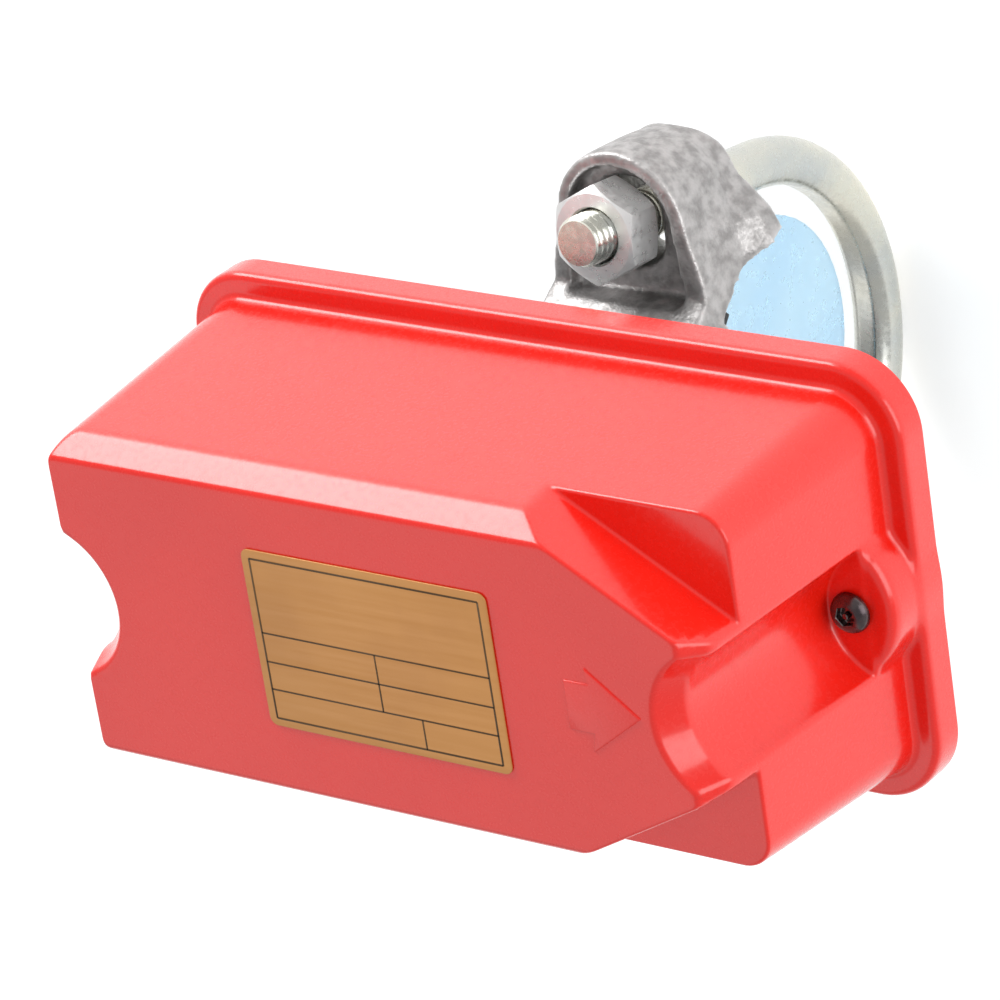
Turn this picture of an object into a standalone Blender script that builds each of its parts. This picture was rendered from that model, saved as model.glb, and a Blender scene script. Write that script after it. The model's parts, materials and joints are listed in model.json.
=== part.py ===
"""Vane-type water flow detector for a nominal 65 mm pipe.

The pipe axis is the X axis and water flows towards +X. +Z points from the pipe to the cover.
The origin is on the pipe axis, under the stem of the vane. All sizes are in metres.
"""
import bmesh
import bpy
from math import atan2, cos, pi, radians, sin, sqrt, tan
from mathutils import Matrix, Vector

MM = 0.001

# Fits between neighbouring pieces
SEAT_GAP = 0.3 * MM
RUNNING_GAP = 0.35 * MM

# Pipe that the detector clamps on
PIPE_RADIUS = 36.5 * MM

# Cover: outline of the box at its front, its flange, and the height of both over the pipe axis
COVER_CENTRE_X = 0.0 * MM
FRONT_Z = 114.0 * MM
FRONT_HALF_LENGTH = 64.7 * MM
FRONT_HALF_WIDTH = 27.9 * MM
CHAMFER_DEPTH = 4.9 * MM
CHAMFER_WIDTH = 3.5 * MM
COVER_DRAFT = 0.083
COVER_WALL = 2.8 * MM
WALL_CORNER_RADIUS = 5.0 * MM
FLANGE_TOP_Z = 62.5 * MM
FLANGE_THICKNESS = 3.2 * MM
FLANGE_OVERHANG = 4.75 * MM
FLANGE_CORNER_RADIUS = 13.1 * MM
SKIRT_BOTTOM_Z = 56.1 * MM
SKIRT_WALL = 2.6 * MM

# Corners cut away beside the flow arrow, down to a step parallel to the front
CORNER_CUT_DEPTH = 11.9 * MM
CORNER_CUT_START = (-25.2 * MM, 27.9 * MM)
CORNER_CUT_END = (-3.0 * MM, 15.45 * MM)

# Round grooves in both ends, which lead a driver down to the cover screws
GROOVE_RIM_RADIUS = 14.4 * MM
GROOVE_RIM_OUTSIDE = 4.8 * MM
GROOVE_RADIUS = 13.0 * MM
GROOVE_OUTSIDE = 6.9 * MM
GROOVE_TAPER = 0.013
GROOVE_LEAN = 0.039
SCREW_SEAT_Z = 70.7 * MM
SCREW_OUTSIDE = 0.8 * MM
BOSS_RADIUS = 15.0 * MM
BOSS_INSIDE = 6.3 * MM
BOSS_EDGE = 2.0 * MM
COVER_SCREW_RADIUS = 2.0 * MM
COVER_SCREW_HEAD_RADIUS = 3.7 * MM
COVER_SCREW_HEAD_HEIGHT = 2.1 * MM
COVER_SCREW_END_Z = 53.0 * MM
DRIVER_SOCKET_RADIUS = 1.5 * MM
DRIVER_PIN_RADIUS = 0.5 * MM
DRIVER_SOCKET_DEPTH = 1.3 * MM

# Rating plate on the front
PLATE_LENGTH = 50.2 * MM
PLATE_WIDTH = 33.1 * MM
PLATE_THICKNESS = 0.4 * MM
PLATE_CORNER_RADIUS = 1.6 * MM
PLATE_CENTRE = (0.5 * MM, 0.9 * MM)

# Base plate, gasket and conduit entries
BASE_THICKNESS = 4.0 * MM
GASKET_THICKNESS = 1.3 * MM
GASKET_WIDTH = 3.0 * MM
CONDUIT_HOLE_RADIUS = 11.1 * MM
CONDUIT_INSIDE = 17.7 * MM
CONDUIT_PAD_RADIUS = 14.5 * MM
CONDUIT_PAD_HEIGHT = 1.5 * MM
PLUG_WALL = 1.0 * MM
PLUG_RIM_RADIUS = 13.4 * MM

# Saddle casting with its two ears
SADDLE_GASKET_THICKNESS = 1.6 * MM
SADDLE_GASKET_HALF_ANGLE = radians(46.0)
SADDLE_HALF_LENGTH = 25.0 * MM
SADDLE_NECK_HALF_WIDTH = 23.0 * MM
STEM_BORE_RADIUS = 13.0 * MM
EAR_CENTRE_Y = 44.0 * MM
EAR_CAP_RADIUS = 13.2 * MM
EAR_RIM_Z = 31.8 * MM
NUT_SEAT_Z = 28.3 * MM
EAR_FOOT_Z = 11.0 * MM
EAR_RIM_WIDTH = 2.6 * MM
SLOT_HALF_WIDTH = 6.2 * MM
SLOT_INNER_Y = 34.6 * MM
SLOT_OUTER_Y = 51.4 * MM
EAR_BACK_CAP_RADIUS = 11.6 * MM
FOOT_HALF_LENGTH = 20.0 * MM

# U-bolt, drawn as it hangs loose in the ears
BOLT_RADIUS = 4.6 * MM
BOLT_BEND_RADIUS = 41.0 * MM
BOLT_BEND_CENTRE = (-1.2 * MM, -2.9 * MM, -3.4 * MM)
BOLT_DROOP = radians(4.4)
BOLT_SPLAY = radians(3.5)
BOLT_LEG_HEIGHT = 49.7 * MM
BOLT_BEND_STEPS = 18
NUT_ACROSS_FLATS = 15.9 * MM
NUT_HEIGHT = 8.3 * MM
NUT_BORE_RADIUS = BOLT_RADIUS + RUNNING_GAP
UPPER_NUT_HEIGHT = 40.9 * MM
LOWER_NUT_HEIGHT = 33.4 * MM

# Vane, its stem and the trip lever
PIVOT_Z = 64.0 * MM
PIVOT_PIN_RADIUS = 1.8 * MM
STEM_RADIUS = 4.0 * MM
STEM_END_Z = 38.0 * MM
VANE_RADIUS = 26.8 * MM
VANE_CENTRE_Z = -3.6 * MM
VANE_THICKNESS = 1.6 * MM
VANE_NECK_HALF_WIDTH = 8.0 * MM
VANE_NECK_TOP_Z = 36.0 * MM
VANE_LEAN = radians(3.0)
CLAMP_LENGTH = 13.0 * MM
CLAMP_HALF_WIDTH = 7.0 * MM
CLAMP_THICKNESS = 2.2 * MM
RIVET_RADIUS = 1.6 * MM
RIVET_HEAD_RADIUS = 2.6 * MM
RIVET_HEAD_HEIGHT = 1.0 * MM
HUB_RADIUS = 4.4 * MM
HUB_HALF_WIDTH = 9.4 * MM
ARM_LENGTH = 30.0 * MM
ARM_HALF_WIDTH = 4.5 * MM
ARM_THICKNESS = 3.2 * MM
CROSSBAR_HALF_LENGTH = 24.5 * MM
CROSSBAR_HALF_WIDTH = 3.0 * MM

# Pivot bracket and the boot that seals the stem
BRACKET_THICKNESS = 1.6 * MM
BRACKET_LENGTH = 34.0 * MM
BRACKET_EAR_LENGTH = 12.0 * MM
BOOT_RADIUS = 8.6 * MM
BOOT_LIP = 1.3 * MM
BOOT_WALL = 0.7 * MM
BOOT_DROP = 1.2 * MM
BOOT_BORE_GAP = 2.0 * MM

# Frame that carries the delay unit and the two snap switches
FRAME_TOP_Z = 75.0 * MM
FRAME_HALF_WIDTH = 29.4 * MM
FRAME_START_X = 12.0 * MM
FRAME_END_X = 48.0 * MM
FRAME_LEG_HALF_LENGTH = 9.0 * MM
FRAME_FOOT_WIDTH = 9.0 * MM
DELAY_RADIUS = 12.6 * MM
DELAY_HEIGHT = 19.5 * MM
DELAY_BORE_RADIUS = 8.6 * MM
DELAY_BORE_DEPTH = 16.0 * MM
PLUNGER_ROD_RADIUS = 3.0 * MM
PLUNGER_HEAD_HEIGHT = 3.0 * MM
SPRING_WIRE_RADIUS = 0.4 * MM
SPRING_TURNS = 4
SPRING_POINTS_PER_TURN = 10
DIAL_RADIUS = 10.5 * MM
DIAL_HEIGHT = 6.5 * MM
DIAL_STEM_RADIUS = 2.5 * MM
DIAL_FLUTES = 12
SWITCH_LENGTH = 33.0 * MM
SWITCH_WIDTH = 14.6 * MM
SWITCH_HEIGHT = 16.0 * MM
SWITCH_INNER_Y = 14.0 * MM
BUTTON_RADIUS = 1.7 * MM
BUTTON_BORE_DEPTH = 11.0 * MM
BUTTON_INSERTION = 3.2 * MM
TERMINAL_RADIUS = 2.9 * MM
TERMINAL_HEIGHT = 2.2 * MM
TERMINAL_PITCH = 9.6 * MM
TERMINAL_POST_RADIUS = 1.4 * MM
TERMINAL_POST_DEPTH = 3.0 * MM
PAN_HEAD_RADIUS = 3.2 * MM
PAN_HEAD_HEIGHT = 2.0 * MM
PAN_SHANK_RADIUS = 1.6 * MM
SADDLE_SCREW_X = 20.0 * MM
SADDLE_SCREW_Y = 16.0 * MM
FRAME_SCREW_BEYOND = 4.5 * MM
FRAME_SCREW_INSIDE = 4.9 * MM

# Facets of round shapes
ROUND_STEPS = 32
SMALL_STEPS = 16
CORNER_STEPS = 6

# Heights that follow from the sizes above
FLANGE_BOTTOM_Z = FLANGE_TOP_Z - FLANGE_THICKNESS
GASKET_TOP_Z = FLANGE_BOTTOM_Z - SEAT_GAP
BASE_TOP_Z = GASKET_TOP_Z - GASKET_THICKNESS - SEAT_GAP
BASE_BOTTOM_Z = BASE_TOP_Z - BASE_THICKNESS
FLOOR_Z = BASE_TOP_Z + SEAT_GAP
SADDLE_TOP_Z = BASE_BOTTOM_Z - SEAT_GAP
SADDLE_ARCH_RADIUS = PIPE_RADIUS + SADDLE_GASKET_THICKNESS + 2 * SEAT_GAP
ARM_TOP_Z = PIVOT_Z + ARM_THICKNESS / 2
BUTTON_FOOT_Z = ARM_TOP_Z + SEAT_GAP
FRAME_SEAT_Z = FRAME_TOP_Z + SEAT_GAP
DELAY_TOP_Z = FRAME_SEAT_Z + DELAY_HEIGHT
SWITCH_TOP_Z = FRAME_SEAT_Z + SWITCH_HEIGHT
SWITCH_CENTRE_Y = SWITCH_INNER_Y + SWITCH_WIDTH / 2
FRAME_SCREW_Y = FRAME_HALF_WIDTH - FRAME_SCREW_INSIDE
FLANGE_HALF_LENGTH = FRONT_HALF_LENGTH + COVER_DRAFT * (FRONT_Z - FLANGE_TOP_Z) + FLANGE_OVERHANG
FLANGE_HALF_WIDTH = (FRONT_HALF_WIDTH + CHAMFER_WIDTH
                     + COVER_DRAFT * (FRONT_Z - CHAMFER_DEPTH - FLANGE_TOP_Z) + FLANGE_OVERHANG)
SCREW_X = FRONT_HALF_LENGTH + SCREW_OUTSIDE
CONDUIT_X = FRONT_HALF_LENGTH - CONDUIT_INSIDE


# Scene, collections and materials

def clear_scene():
    for item in list(bpy.data.objects):
        bpy.data.objects.remove(item, do_unlink=True)


def new_collection(name):
    collection = bpy.data.collections.new(name)
    bpy.context.scene.collection.children.link(collection)
    return collection


def new_material(name, colour, roughness, metallic=0.0, alpha=1.0):
    material = bpy.data.materials.new(name)
    material.use_nodes = True
    shader = material.node_tree.nodes["Principled BSDF"]
    shader.inputs["Base Color"].default_value = (*colour, 1.0)
    shader.inputs["Roughness"].default_value = roughness
    shader.inputs["Metallic"].default_value = metallic
    shader.inputs["Alpha"].default_value = alpha
    return material


clear_scene()
DETECTOR = new_collection("water_flow_detector")
CUTTERS = new_collection("cutters")
COVER_RED = new_material("cover_red", (0.80, 0.06, 0.05), 0.3)
BASE_GREY = new_material("base_grey", (0.42, 0.43, 0.44), 0.5, 0.7)
CAST_ALUMINIUM = new_material("cast_aluminium", (0.45, 0.44, 0.43), 0.55, 0.9)
ZINC_PLATE = new_material("zinc_plate", (0.75, 0.77, 0.74), 0.3, 1.0)
BRIGHT_STEEL = new_material("bright_steel", (0.6, 0.6, 0.62), 0.25, 1.0)
DARK_STEEL = new_material("dark_steel", (0.12, 0.11, 0.12), 0.3, 1.0)
BLACK_RUBBER = new_material("black_rubber", (0.03, 0.03, 0.03), 0.8)
BLUE_VANE = new_material("blue_vane", (0.45, 0.72, 0.95), 0.35, 0.0, 0.8)
GOLD_FOIL = new_material("gold_foil", (0.80, 0.52, 0.22), 0.4)
BLACK_PLASTIC = new_material("black_plastic", (0.05, 0.05, 0.055), 0.45)
WHITE_NYLON = new_material("white_nylon", (0.85, 0.84, 0.80), 0.5)
BRASS = new_material("brass", (0.75, 0.56, 0.25), 0.3, 1.0)
GREEN_ZINC = new_material("green_zinc", (0.10, 0.45, 0.15), 0.4, 0.6)


# Objects and modifiers

def add_object(name, mesh, material, parent=None):
    """Puts a mesh in the part's collection; without a material it is a cutter."""
    item = bpy.data.objects.new(name, mesh)
    if material is None:
        CUTTERS.objects.link(item)
        item.hide_render = True
        item.display_type = "WIRE"
    else:
        DETECTOR.objects.link(item)
        mesh.materials.clear()
        mesh.materials.append(material)
    if parent is not None:
        item.parent = parent
    return item


def mesh_from(bm, name):
    mesh = bpy.data.meshes.new(name)
    bmesh.ops.recalc_face_normals(bm, faces=bm.faces)
    bm.to_mesh(mesh)
    bm.free()
    return mesh


def boolean(item, other, operation):
    modifier = item.modifiers.new(operation.lower(), "BOOLEAN")
    modifier.operation = operation
    modifier.solver = "EXACT"
    modifier.object = other


def cut(item, *others):
    for other in others:
        boolean(item, other, "DIFFERENCE")


def fuse(item, *others):
    for other in others:
        boolean(item, other, "UNION")


def common(item, other):
    boolean(item, other, "INTERSECT")


def round_edges(item, width, segments=2, angle=radians(40)):
    modifier = item.modifiers.new("rounded_edges", "BEVEL")
    modifier.width = width
    modifier.segments = segments
    modifier.limit_method = "ANGLE"
    modifier.angle_limit = angle


def shade_round(item, angle=radians(35)):
    item.data.shade_smooth()
    item.data.set_sharp_from_angle(angle=angle)


def empty(name, location):
    item = bpy.data.objects.new(name, None)
    item.location = location
    DETECTOR.objects.link(item)
    return item


# Primitive shapes, placed by the location of their object

def box(name, low, high, material=None, parent=None):
    """A block between two corners, with its origin at its centre."""
    low, high = Vector(low), Vector(high)
    bm = bmesh.new()
    bmesh.ops.create_cube(bm, size=1.0)
    bmesh.ops.scale(bm, vec=high - low, verts=bm.verts)
    item = add_object(name, mesh_from(bm, name), material, parent)
    item.location = (low + high) / 2
    if parent is not None:
        item.location -= parent.location
    return item


def rod(name, radius, start, end, material=None, parent=None, end_radius=None, steps=ROUND_STEPS):
    """A cylinder or cone from start to end."""
    start, end = Vector(start), Vector(end)
    axis = end - start
    bm = bmesh.new()
    bmesh.ops.create_cone(bm, cap_ends=True, segments=steps, radius1=radius,
                          radius2=radius if end_radius is None else end_radius, depth=axis.length)
    item = add_object(name, mesh_from(bm, name), material, parent)
    item.rotation_euler = axis.to_track_quat("Z", "Y").to_euler()
    item.location = (start + end) / 2
    if parent is not None:
        item.location -= parent.location
    shade_round(item)
    return item


def turned(name, profile, material=None, location=(0, 0, 0), parent=None, steps=ROUND_STEPS):
    """A profile of (radius, height) points, top to bottom, turned round the Z axis."""
    bm = bmesh.new()
    points = [bm.verts.new((radius, 0, height)) for radius, height in profile]
    for first, second in zip(points, points[1:]):
        bm.edges.new((first, second))
    mesh = bpy.data.meshes.new(name)
    bm.to_mesh(mesh)
    bm.free()
    item = add_object(name, mesh, material, parent)
    item.location = Vector(location)
    if parent is not None:
        item.location -= parent.location
    screw = item.modifiers.new("turned", "SCREW")
    screw.axis = "Z"
    screw.steps = steps
    screw.render_steps = steps
    screw.use_merge_vertices = True
    screw.merge_threshold = 0.00001
    screw.use_smooth_shade = True
    return item


def curve_to_mesh(name, curve, matrix):
    """Makes a mesh of a curve, with the loose caps welded to the sides."""
    helper = bpy.data.objects.new(name, curve)
    helper.matrix_world = matrix
    CUTTERS.objects.link(helper)
    bpy.context.view_layer.update()
    evaluated = helper.evaluated_get(bpy.context.evaluated_depsgraph_get())
    mesh = bpy.data.meshes.new_from_object(evaluated)
    bpy.data.objects.remove(helper)
    bm = bmesh.new()
    bm.from_mesh(mesh)
    bmesh.ops.remove_doubles(bm, verts=bm.verts, dist=0.00001)
    bmesh.ops.recalc_face_normals(bm, faces=bm.faces)
    bm.to_mesh(mesh)
    bm.free()
    return mesh


def slab(name, outline, low, high, material=None, plane="XY", parent=None):
    """A flat outline given thickness: from low to high along Z, or along X for the plane YZ."""
    curve = bpy.data.curves.new(name, "CURVE")
    curve.dimensions = "2D"
    curve.fill_mode = "BOTH"
    curve.extrude = (high - low) / 2
    spline = curve.splines.new("POLY")
    spline.points.add(len(outline) - 1)
    for point, (across, along) in zip(spline.points, outline):
        point.co = (across, along, 0, 1)
    spline.use_cyclic_u = True
    mesh = curve_to_mesh(name, curve, Matrix.Identity(4))
    if plane == "YZ":
        mesh.transform(Matrix(((0, 0, 1, 0), (1, 0, 0, 0), (0, 1, 0, 0), (0, 0, 0, 1))))
    item = add_object(name, mesh, material, parent)
    middle = (low + high) / 2
    item.location = (middle, 0, 0) if plane == "YZ" else (0, 0, middle)
    if parent is not None:
        item.location -= parent.location
    shade_round(item)
    return item


def loft(name, sections, material=None, split=False):
    """Closed skin over sections of equal point counts; split makes triangles of twisted faces."""
    bm = bmesh.new()
    rings = [[bm.verts.new((x, y, height)) for x, y in outline] for outline, height in sections]
    for lower, upper in zip(rings, rings[1:]):
        for index, corner in enumerate(lower):
            after = (index + 1) % len(lower)
            bm.faces.new((corner, lower[after], upper[after], upper[index]))
    bm.faces.new(list(reversed(rings[0])))
    bm.faces.new(rings[-1])
    if split:
        bmesh.ops.triangulate(bm, faces=bm.faces)
    item = add_object(name, mesh_from(bm, name), material)
    shade_round(item)
    return item


def arc(centre, radius, start, end, steps):
    """Points on an arc in its own plane, from the start angle to the end angle in degrees."""
    for step in range(steps + 1):
        angle = radians(start + (end - start) * step / steps)
        yield (centre[0] + radius * cos(angle), centre[1] + radius * sin(angle))


def rounded_rectangle(low, high, radius, steps=CORNER_STEPS):
    """Outline between two corners of a plane, its own corners rounded."""
    centres = ((high[0] - radius, high[1] - radius, 0), (low[0] + radius, high[1] - radius, 90),
               (low[0] + radius, low[1] + radius, 180), (high[0] - radius, low[1] + radius, 270))
    points = []
    for x, y, start in centres:
        points.extend(arc((x, y), radius, start, start + 90, steps))
    return points


def cover_outline(half_length, half_width, radius, right_inset=0.0):
    return rounded_rectangle((COVER_CENTRE_X - half_length, -half_width),
                             (COVER_CENTRE_X + half_length - right_inset, half_width), radius)


# Cover

def wall_section(height, inset=0.0):
    """Outline of the drafted walls at a height, moved inwards by the inset."""
    depth = FRONT_Z - height
    half_length = FRONT_HALF_LENGTH + COVER_DRAFT * depth - inset
    half_width = FRONT_HALF_WIDTH + CHAMFER_WIDTH + COVER_DRAFT * (depth - CHAMFER_DEPTH) - inset
    return cover_outline(half_length, half_width, max(WALL_CORNER_RADIUS - inset, 1.5 * MM))


def front_section(height, inset=0.0):
    """Outline of the chamfered front, moved inwards by the inset."""
    return cover_outline(FRONT_HALF_LENGTH - inset, FRONT_HALF_WIDTH - inset,
                         max(WALL_CORNER_RADIUS - CHAMFER_WIDTH, 1.5 * MM),
                         right_inset=CHAMFER_WIDTH), height


def corner_cutter(name, side, offset, low):
    """A prism outside the slanting wall of one cut corner, offset towards the middle."""
    right = COVER_CENTRE_X + FRONT_HALF_LENGTH
    start = Vector((right + CORNER_CUT_START[0], CORNER_CUT_START[1]))
    end = Vector((right + CORNER_CUT_END[0], CORNER_CUT_END[1]))
    along = (end - start).normalized()
    inward = Vector((along.y, -along.x))
    if inward.y > 0:
        inward = -inward
    reach = FRONT_HALF_WIDTH
    first = start - along * reach + inward * offset
    last = end + along * reach / 2 + inward * offset
    outside = right + reach
    outline = [first, last, Vector((outside, last.y)), Vector((outside, first.y))]
    return slab(name, [(point.x, side * point.y) for point in outline], low, FRONT_Z + reach)


def groove_cutter(name, side, offset, low):
    """The tapered round groove in one end with its chamfered rim, from low to well above the front."""
    edge = FRONT_Z - CHAMFER_DEPTH
    sections = [
        (low, GROOVE_OUTSIDE + GROOVE_LEAN * (edge - low), GROOVE_RADIUS - GROOVE_TAPER * (edge - low)),
        (edge, GROOVE_OUTSIDE, GROOVE_RADIUS),
        (FRONT_Z, GROOVE_RIM_OUTSIDE, GROOVE_RIM_RADIUS),
        (FRONT_Z + 2 * CHAMFER_DEPTH, GROOVE_RIM_OUTSIDE, GROOVE_RIM_RADIUS),
    ]
    loops = []
    for height, outside, radius in sections:
        centre = (COVER_CENTRE_X + side * (FRONT_HALF_LENGTH + outside), 0)
        loops.append((arc(centre, radius + offset, 0, 360 - 360 / ROUND_STEPS, ROUND_STEPS - 1), height))
    return loft(name, loops)


def boss_blank(name, side):
    """The round boss under one screw seat, its top edge bevelled."""
    centre_x = COVER_CENTRE_X + side * (FRONT_HALF_LENGTH - BOSS_INSIDE)
    return turned(name, [
        (0, SCREW_SEAT_Z),
        (BOSS_RADIUS - BOSS_EDGE, SCREW_SEAT_Z),
        (BOSS_RADIUS - BOSS_EDGE * 0.3, SCREW_SEAT_Z - BOSS_EDGE * 0.3),
        (BOSS_RADIUS, SCREW_SEAT_Z - BOSS_EDGE),
        (BOSS_RADIUS, FLANGE_BOTTOM_Z + MM),
        (0, FLANGE_BOTTOM_Z + MM),
    ], None, (centre_x, 0, 0), steps=2 * ROUND_STEPS)


def make_cover():
    cover = loft("cover", [
        (cover_outline(FLANGE_HALF_LENGTH, FLANGE_HALF_WIDTH, FLANGE_CORNER_RADIUS), SKIRT_BOTTOM_Z),
        (cover_outline(FLANGE_HALF_LENGTH, FLANGE_HALF_WIDTH, FLANGE_CORNER_RADIUS), FLANGE_TOP_Z),
        (wall_section(FLANGE_TOP_Z), FLANGE_TOP_Z),
        (wall_section(FRONT_Z - CHAMFER_DEPTH), FRONT_Z - CHAMFER_DEPTH),
        front_section(FRONT_Z),
    ], COVER_RED)
    cavity = loft("cavity", [
        (cover_outline(FLANGE_HALF_LENGTH - SKIRT_WALL, FLANGE_HALF_WIDTH - SKIRT_WALL,
                       FLANGE_CORNER_RADIUS - SKIRT_WALL), SKIRT_BOTTOM_Z - MM),
        (cover_outline(FLANGE_HALF_LENGTH - SKIRT_WALL, FLANGE_HALF_WIDTH - SKIRT_WALL,
                       FLANGE_CORNER_RADIUS - SKIRT_WALL), FLANGE_BOTTOM_Z),
        (wall_section(FLANGE_BOTTOM_Z, COVER_WALL), FLANGE_BOTTOM_Z),
        (wall_section(FRONT_Z - CHAMFER_DEPTH, COVER_WALL), FRONT_Z - CHAMFER_DEPTH),
        front_section(FRONT_Z - COVER_WALL, COVER_WALL),
    ])
    for side, end in ((1, "right"), (-1, "left")):
        fuse(cover, boss_blank("boss_" + end, side))
    for side, edge in ((1, "upper"), (-1, "lower")):
        step_z = FRONT_Z - CORNER_CUT_DEPTH
        cut(cover, corner_cutter("corner_" + edge, side, 0.0, step_z))
        cut(cavity, corner_cutter("corner_wall_" + edge, side, COVER_WALL, step_z - COVER_WALL))
    for side, end in ((1, "right"), (-1, "left")):
        cut(cover, groove_cutter("groove_" + end, side, 0.0, SCREW_SEAT_Z))
        cut(cavity, groove_cutter("groove_wall_" + end, side, COVER_WALL, FLANGE_BOTTOM_Z))
    cut(cover, cavity)
    for side, end in ((1, "right"), (-1, "left")):
        hole_x = COVER_CENTRE_X + side * SCREW_X
        cut(cover, rod("screw_hole_" + end, COVER_SCREW_RADIUS + RUNNING_GAP,
                       (hole_x, 0, 0), (hole_x, 0, FRONT_Z), steps=SMALL_STEPS))
    return cover


def make_cover_screws():
    for side, end in ((1, "right"), (-1, "left")):
        seat_z = SCREW_SEAT_Z + SEAT_GAP
        screw = turned("cover_screw_" + end, [
            (0, COVER_SCREW_HEAD_HEIGHT),
            (COVER_SCREW_HEAD_RADIUS * 0.45, COVER_SCREW_HEAD_HEIGHT),
            (COVER_SCREW_HEAD_RADIUS * 0.8, COVER_SCREW_HEAD_HEIGHT * 0.75),
            (COVER_SCREW_HEAD_RADIUS, COVER_SCREW_HEAD_HEIGHT * 0.2),
            (COVER_SCREW_HEAD_RADIUS, 0),
            (COVER_SCREW_RADIUS, 0),
            (COVER_SCREW_RADIUS, COVER_SCREW_END_Z - seat_z),
            (0, COVER_SCREW_END_Z - seat_z),
        ], DARK_STEEL, (COVER_CENTRE_X + side * SCREW_X, 0, seat_z), steps=SMALL_STEPS)
        top = seat_z + COVER_SCREW_HEAD_HEIGHT
        centre = (COVER_CENTRE_X + side * SCREW_X, 0)
        socket = rod("driver_socket_" + end, DRIVER_SOCKET_RADIUS, (*centre, top - DRIVER_SOCKET_DEPTH),
                     (*centre, top + MM), steps=6)
        cut(socket, rod("driver_pin_" + end, DRIVER_PIN_RADIUS, (*centre, seat_z), (*centre, top - 0.2 * MM),
                        steps=8))
        cut(screw, socket)


def make_rating_plate():
    half_length, half_width = PLATE_LENGTH / 2, PLATE_WIDTH / 2
    outline = rounded_rectangle((PLATE_CENTRE[0] - half_length, PLATE_CENTRE[1] - half_width),
                                (PLATE_CENTRE[0] + half_length, PLATE_CENTRE[1] + half_width),
                                PLATE_CORNER_RADIUS)
    low = FRONT_Z + SEAT_GAP / 3
    slab("rating_plate", outline, low, low + PLATE_THICKNESS, GOLD_FOIL)


# Base plate and what lies on it

def base_outline(inset):
    clearance = SKIRT_WALL + RUNNING_GAP + inset
    return cover_outline(FLANGE_HALF_LENGTH - clearance, FLANGE_HALF_WIDTH - clearance,
                         FLANGE_CORNER_RADIUS - clearance)


def make_base_plate():
    base = slab("base_plate", base_outline(0.0), BASE_BOTTOM_Z, BASE_TOP_Z, BASE_GREY)
    for side, end in ((1, "right"), (-1, "left")):
        centre = (side * CONDUIT_X, 0)
        fuse(base, rod("conduit_pad_" + end, CONDUIT_PAD_RADIUS, (*centre, BASE_BOTTOM_Z - CONDUIT_PAD_HEIGHT),
                       (*centre, BASE_BOTTOM_Z + MM)))
        cut(base, rod("conduit_hole_" + end, CONDUIT_HOLE_RADIUS, (*centre, 0), (*centre, FRONT_Z)))
        screw_x = COVER_CENTRE_X + side * SCREW_X
        cut(base, rod("cover_screw_hole_" + end, COVER_SCREW_RADIUS + RUNNING_GAP,
                      (screw_x, 0, 0), (screw_x, 0, FRONT_Z), steps=SMALL_STEPS))
    cut(base, rod("stem_hole", BOOT_RADIUS - BOOT_LIP, (0, 0, 0), (0, 0, FRONT_Z)))
    for name, x, y in SADDLE_SCREW_PLACES + FRAME_SCREW_PLACES + BRACKET_SCREW_PLACES + GROUND_SCREW_PLACE:
        cut(base, rod("hole_" + name, PAN_SHANK_RADIUS + RUNNING_GAP, (x, y, 0), (x, y, FRONT_Z),
                      steps=SMALL_STEPS))


def make_cover_gasket():
    """A flat ring under the cover's flange, with its ends notched round the screw pillars."""
    inner_inset = COVER_WALL + FLANGE_OVERHANG - SKIRT_WALL
    gasket = slab("cover_gasket", base_outline(0.0), BASE_TOP_Z + SEAT_GAP, GASKET_TOP_Z, BLACK_RUBBER)
    cut(gasket, slab("gasket_window", base_outline(max(GASKET_WIDTH, inner_inset)),
                     BASE_BOTTOM_Z, FLANGE_TOP_Z))
    for side, end in ((1, "right"), (-1, "left")):
        screw_x = COVER_CENTRE_X + side * SCREW_X
        tab = rod("gasket_tab_" + end, COVER_SCREW_HEAD_RADIUS + 1.5 * MM,
                  (screw_x, 0, BASE_TOP_Z + SEAT_GAP), (screw_x, 0, GASKET_TOP_Z), steps=SMALL_STEPS)
        fuse(gasket, tab)
        cut(gasket, rod("gasket_hole_" + end, COVER_SCREW_RADIUS + RUNNING_GAP,
                        (screw_x, 0, 0), (screw_x, 0, FRONT_Z), steps=SMALL_STEPS))


def make_conduit_plug():
    """A pressed cup that closes the conduit entry on the downstream side."""
    rim_z = BASE_BOTTOM_Z - CONDUIT_PAD_HEIGHT - SEAT_GAP
    radius = CONDUIT_HOLE_RADIUS - RUNNING_GAP
    cup_top = BASE_TOP_Z
    turned("conduit_plug", [
        (0, cup_top),
        (radius, cup_top),
        (radius, rim_z),
        (PLUG_RIM_RADIUS, rim_z),
        (PLUG_RIM_RADIUS, rim_z - PLUG_WALL),
        (radius - PLUG_WALL, rim_z - PLUG_WALL),
        (radius - PLUG_WALL, cup_top - PLUG_WALL),
        (0, cup_top - PLUG_WALL),
    ], ZINC_PLATE, (CONDUIT_X, 0, 0))


# Screws with pan heads, each on the piece that it holds

SADDLE_SCREW_PLACES = [("saddle_screw_%d" % (index + 1), x * SADDLE_SCREW_X, y * SADDLE_SCREW_Y)
                       for index, (x, y) in enumerate(((1, 1), (-1, 1), (-1, -1), (1, -1)))]
FRAME_SCREW_PLACES = [("frame_screw_%d" % (index + 1), ARM_LENGTH + FRAME_SCREW_BEYOND, y * FRAME_SCREW_Y)
                      for index, y in enumerate((1, -1))]
BRACKET_SCREW_PLACES = [("bracket_screw_%d" % (index + 1), x * 12.5 * MM, 0.0)
                        for index, x in enumerate((1, -1))]
GROUND_SCREW_PLACE = [("ground_screw", -24.0 * MM, 22.0 * MM)]


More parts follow.
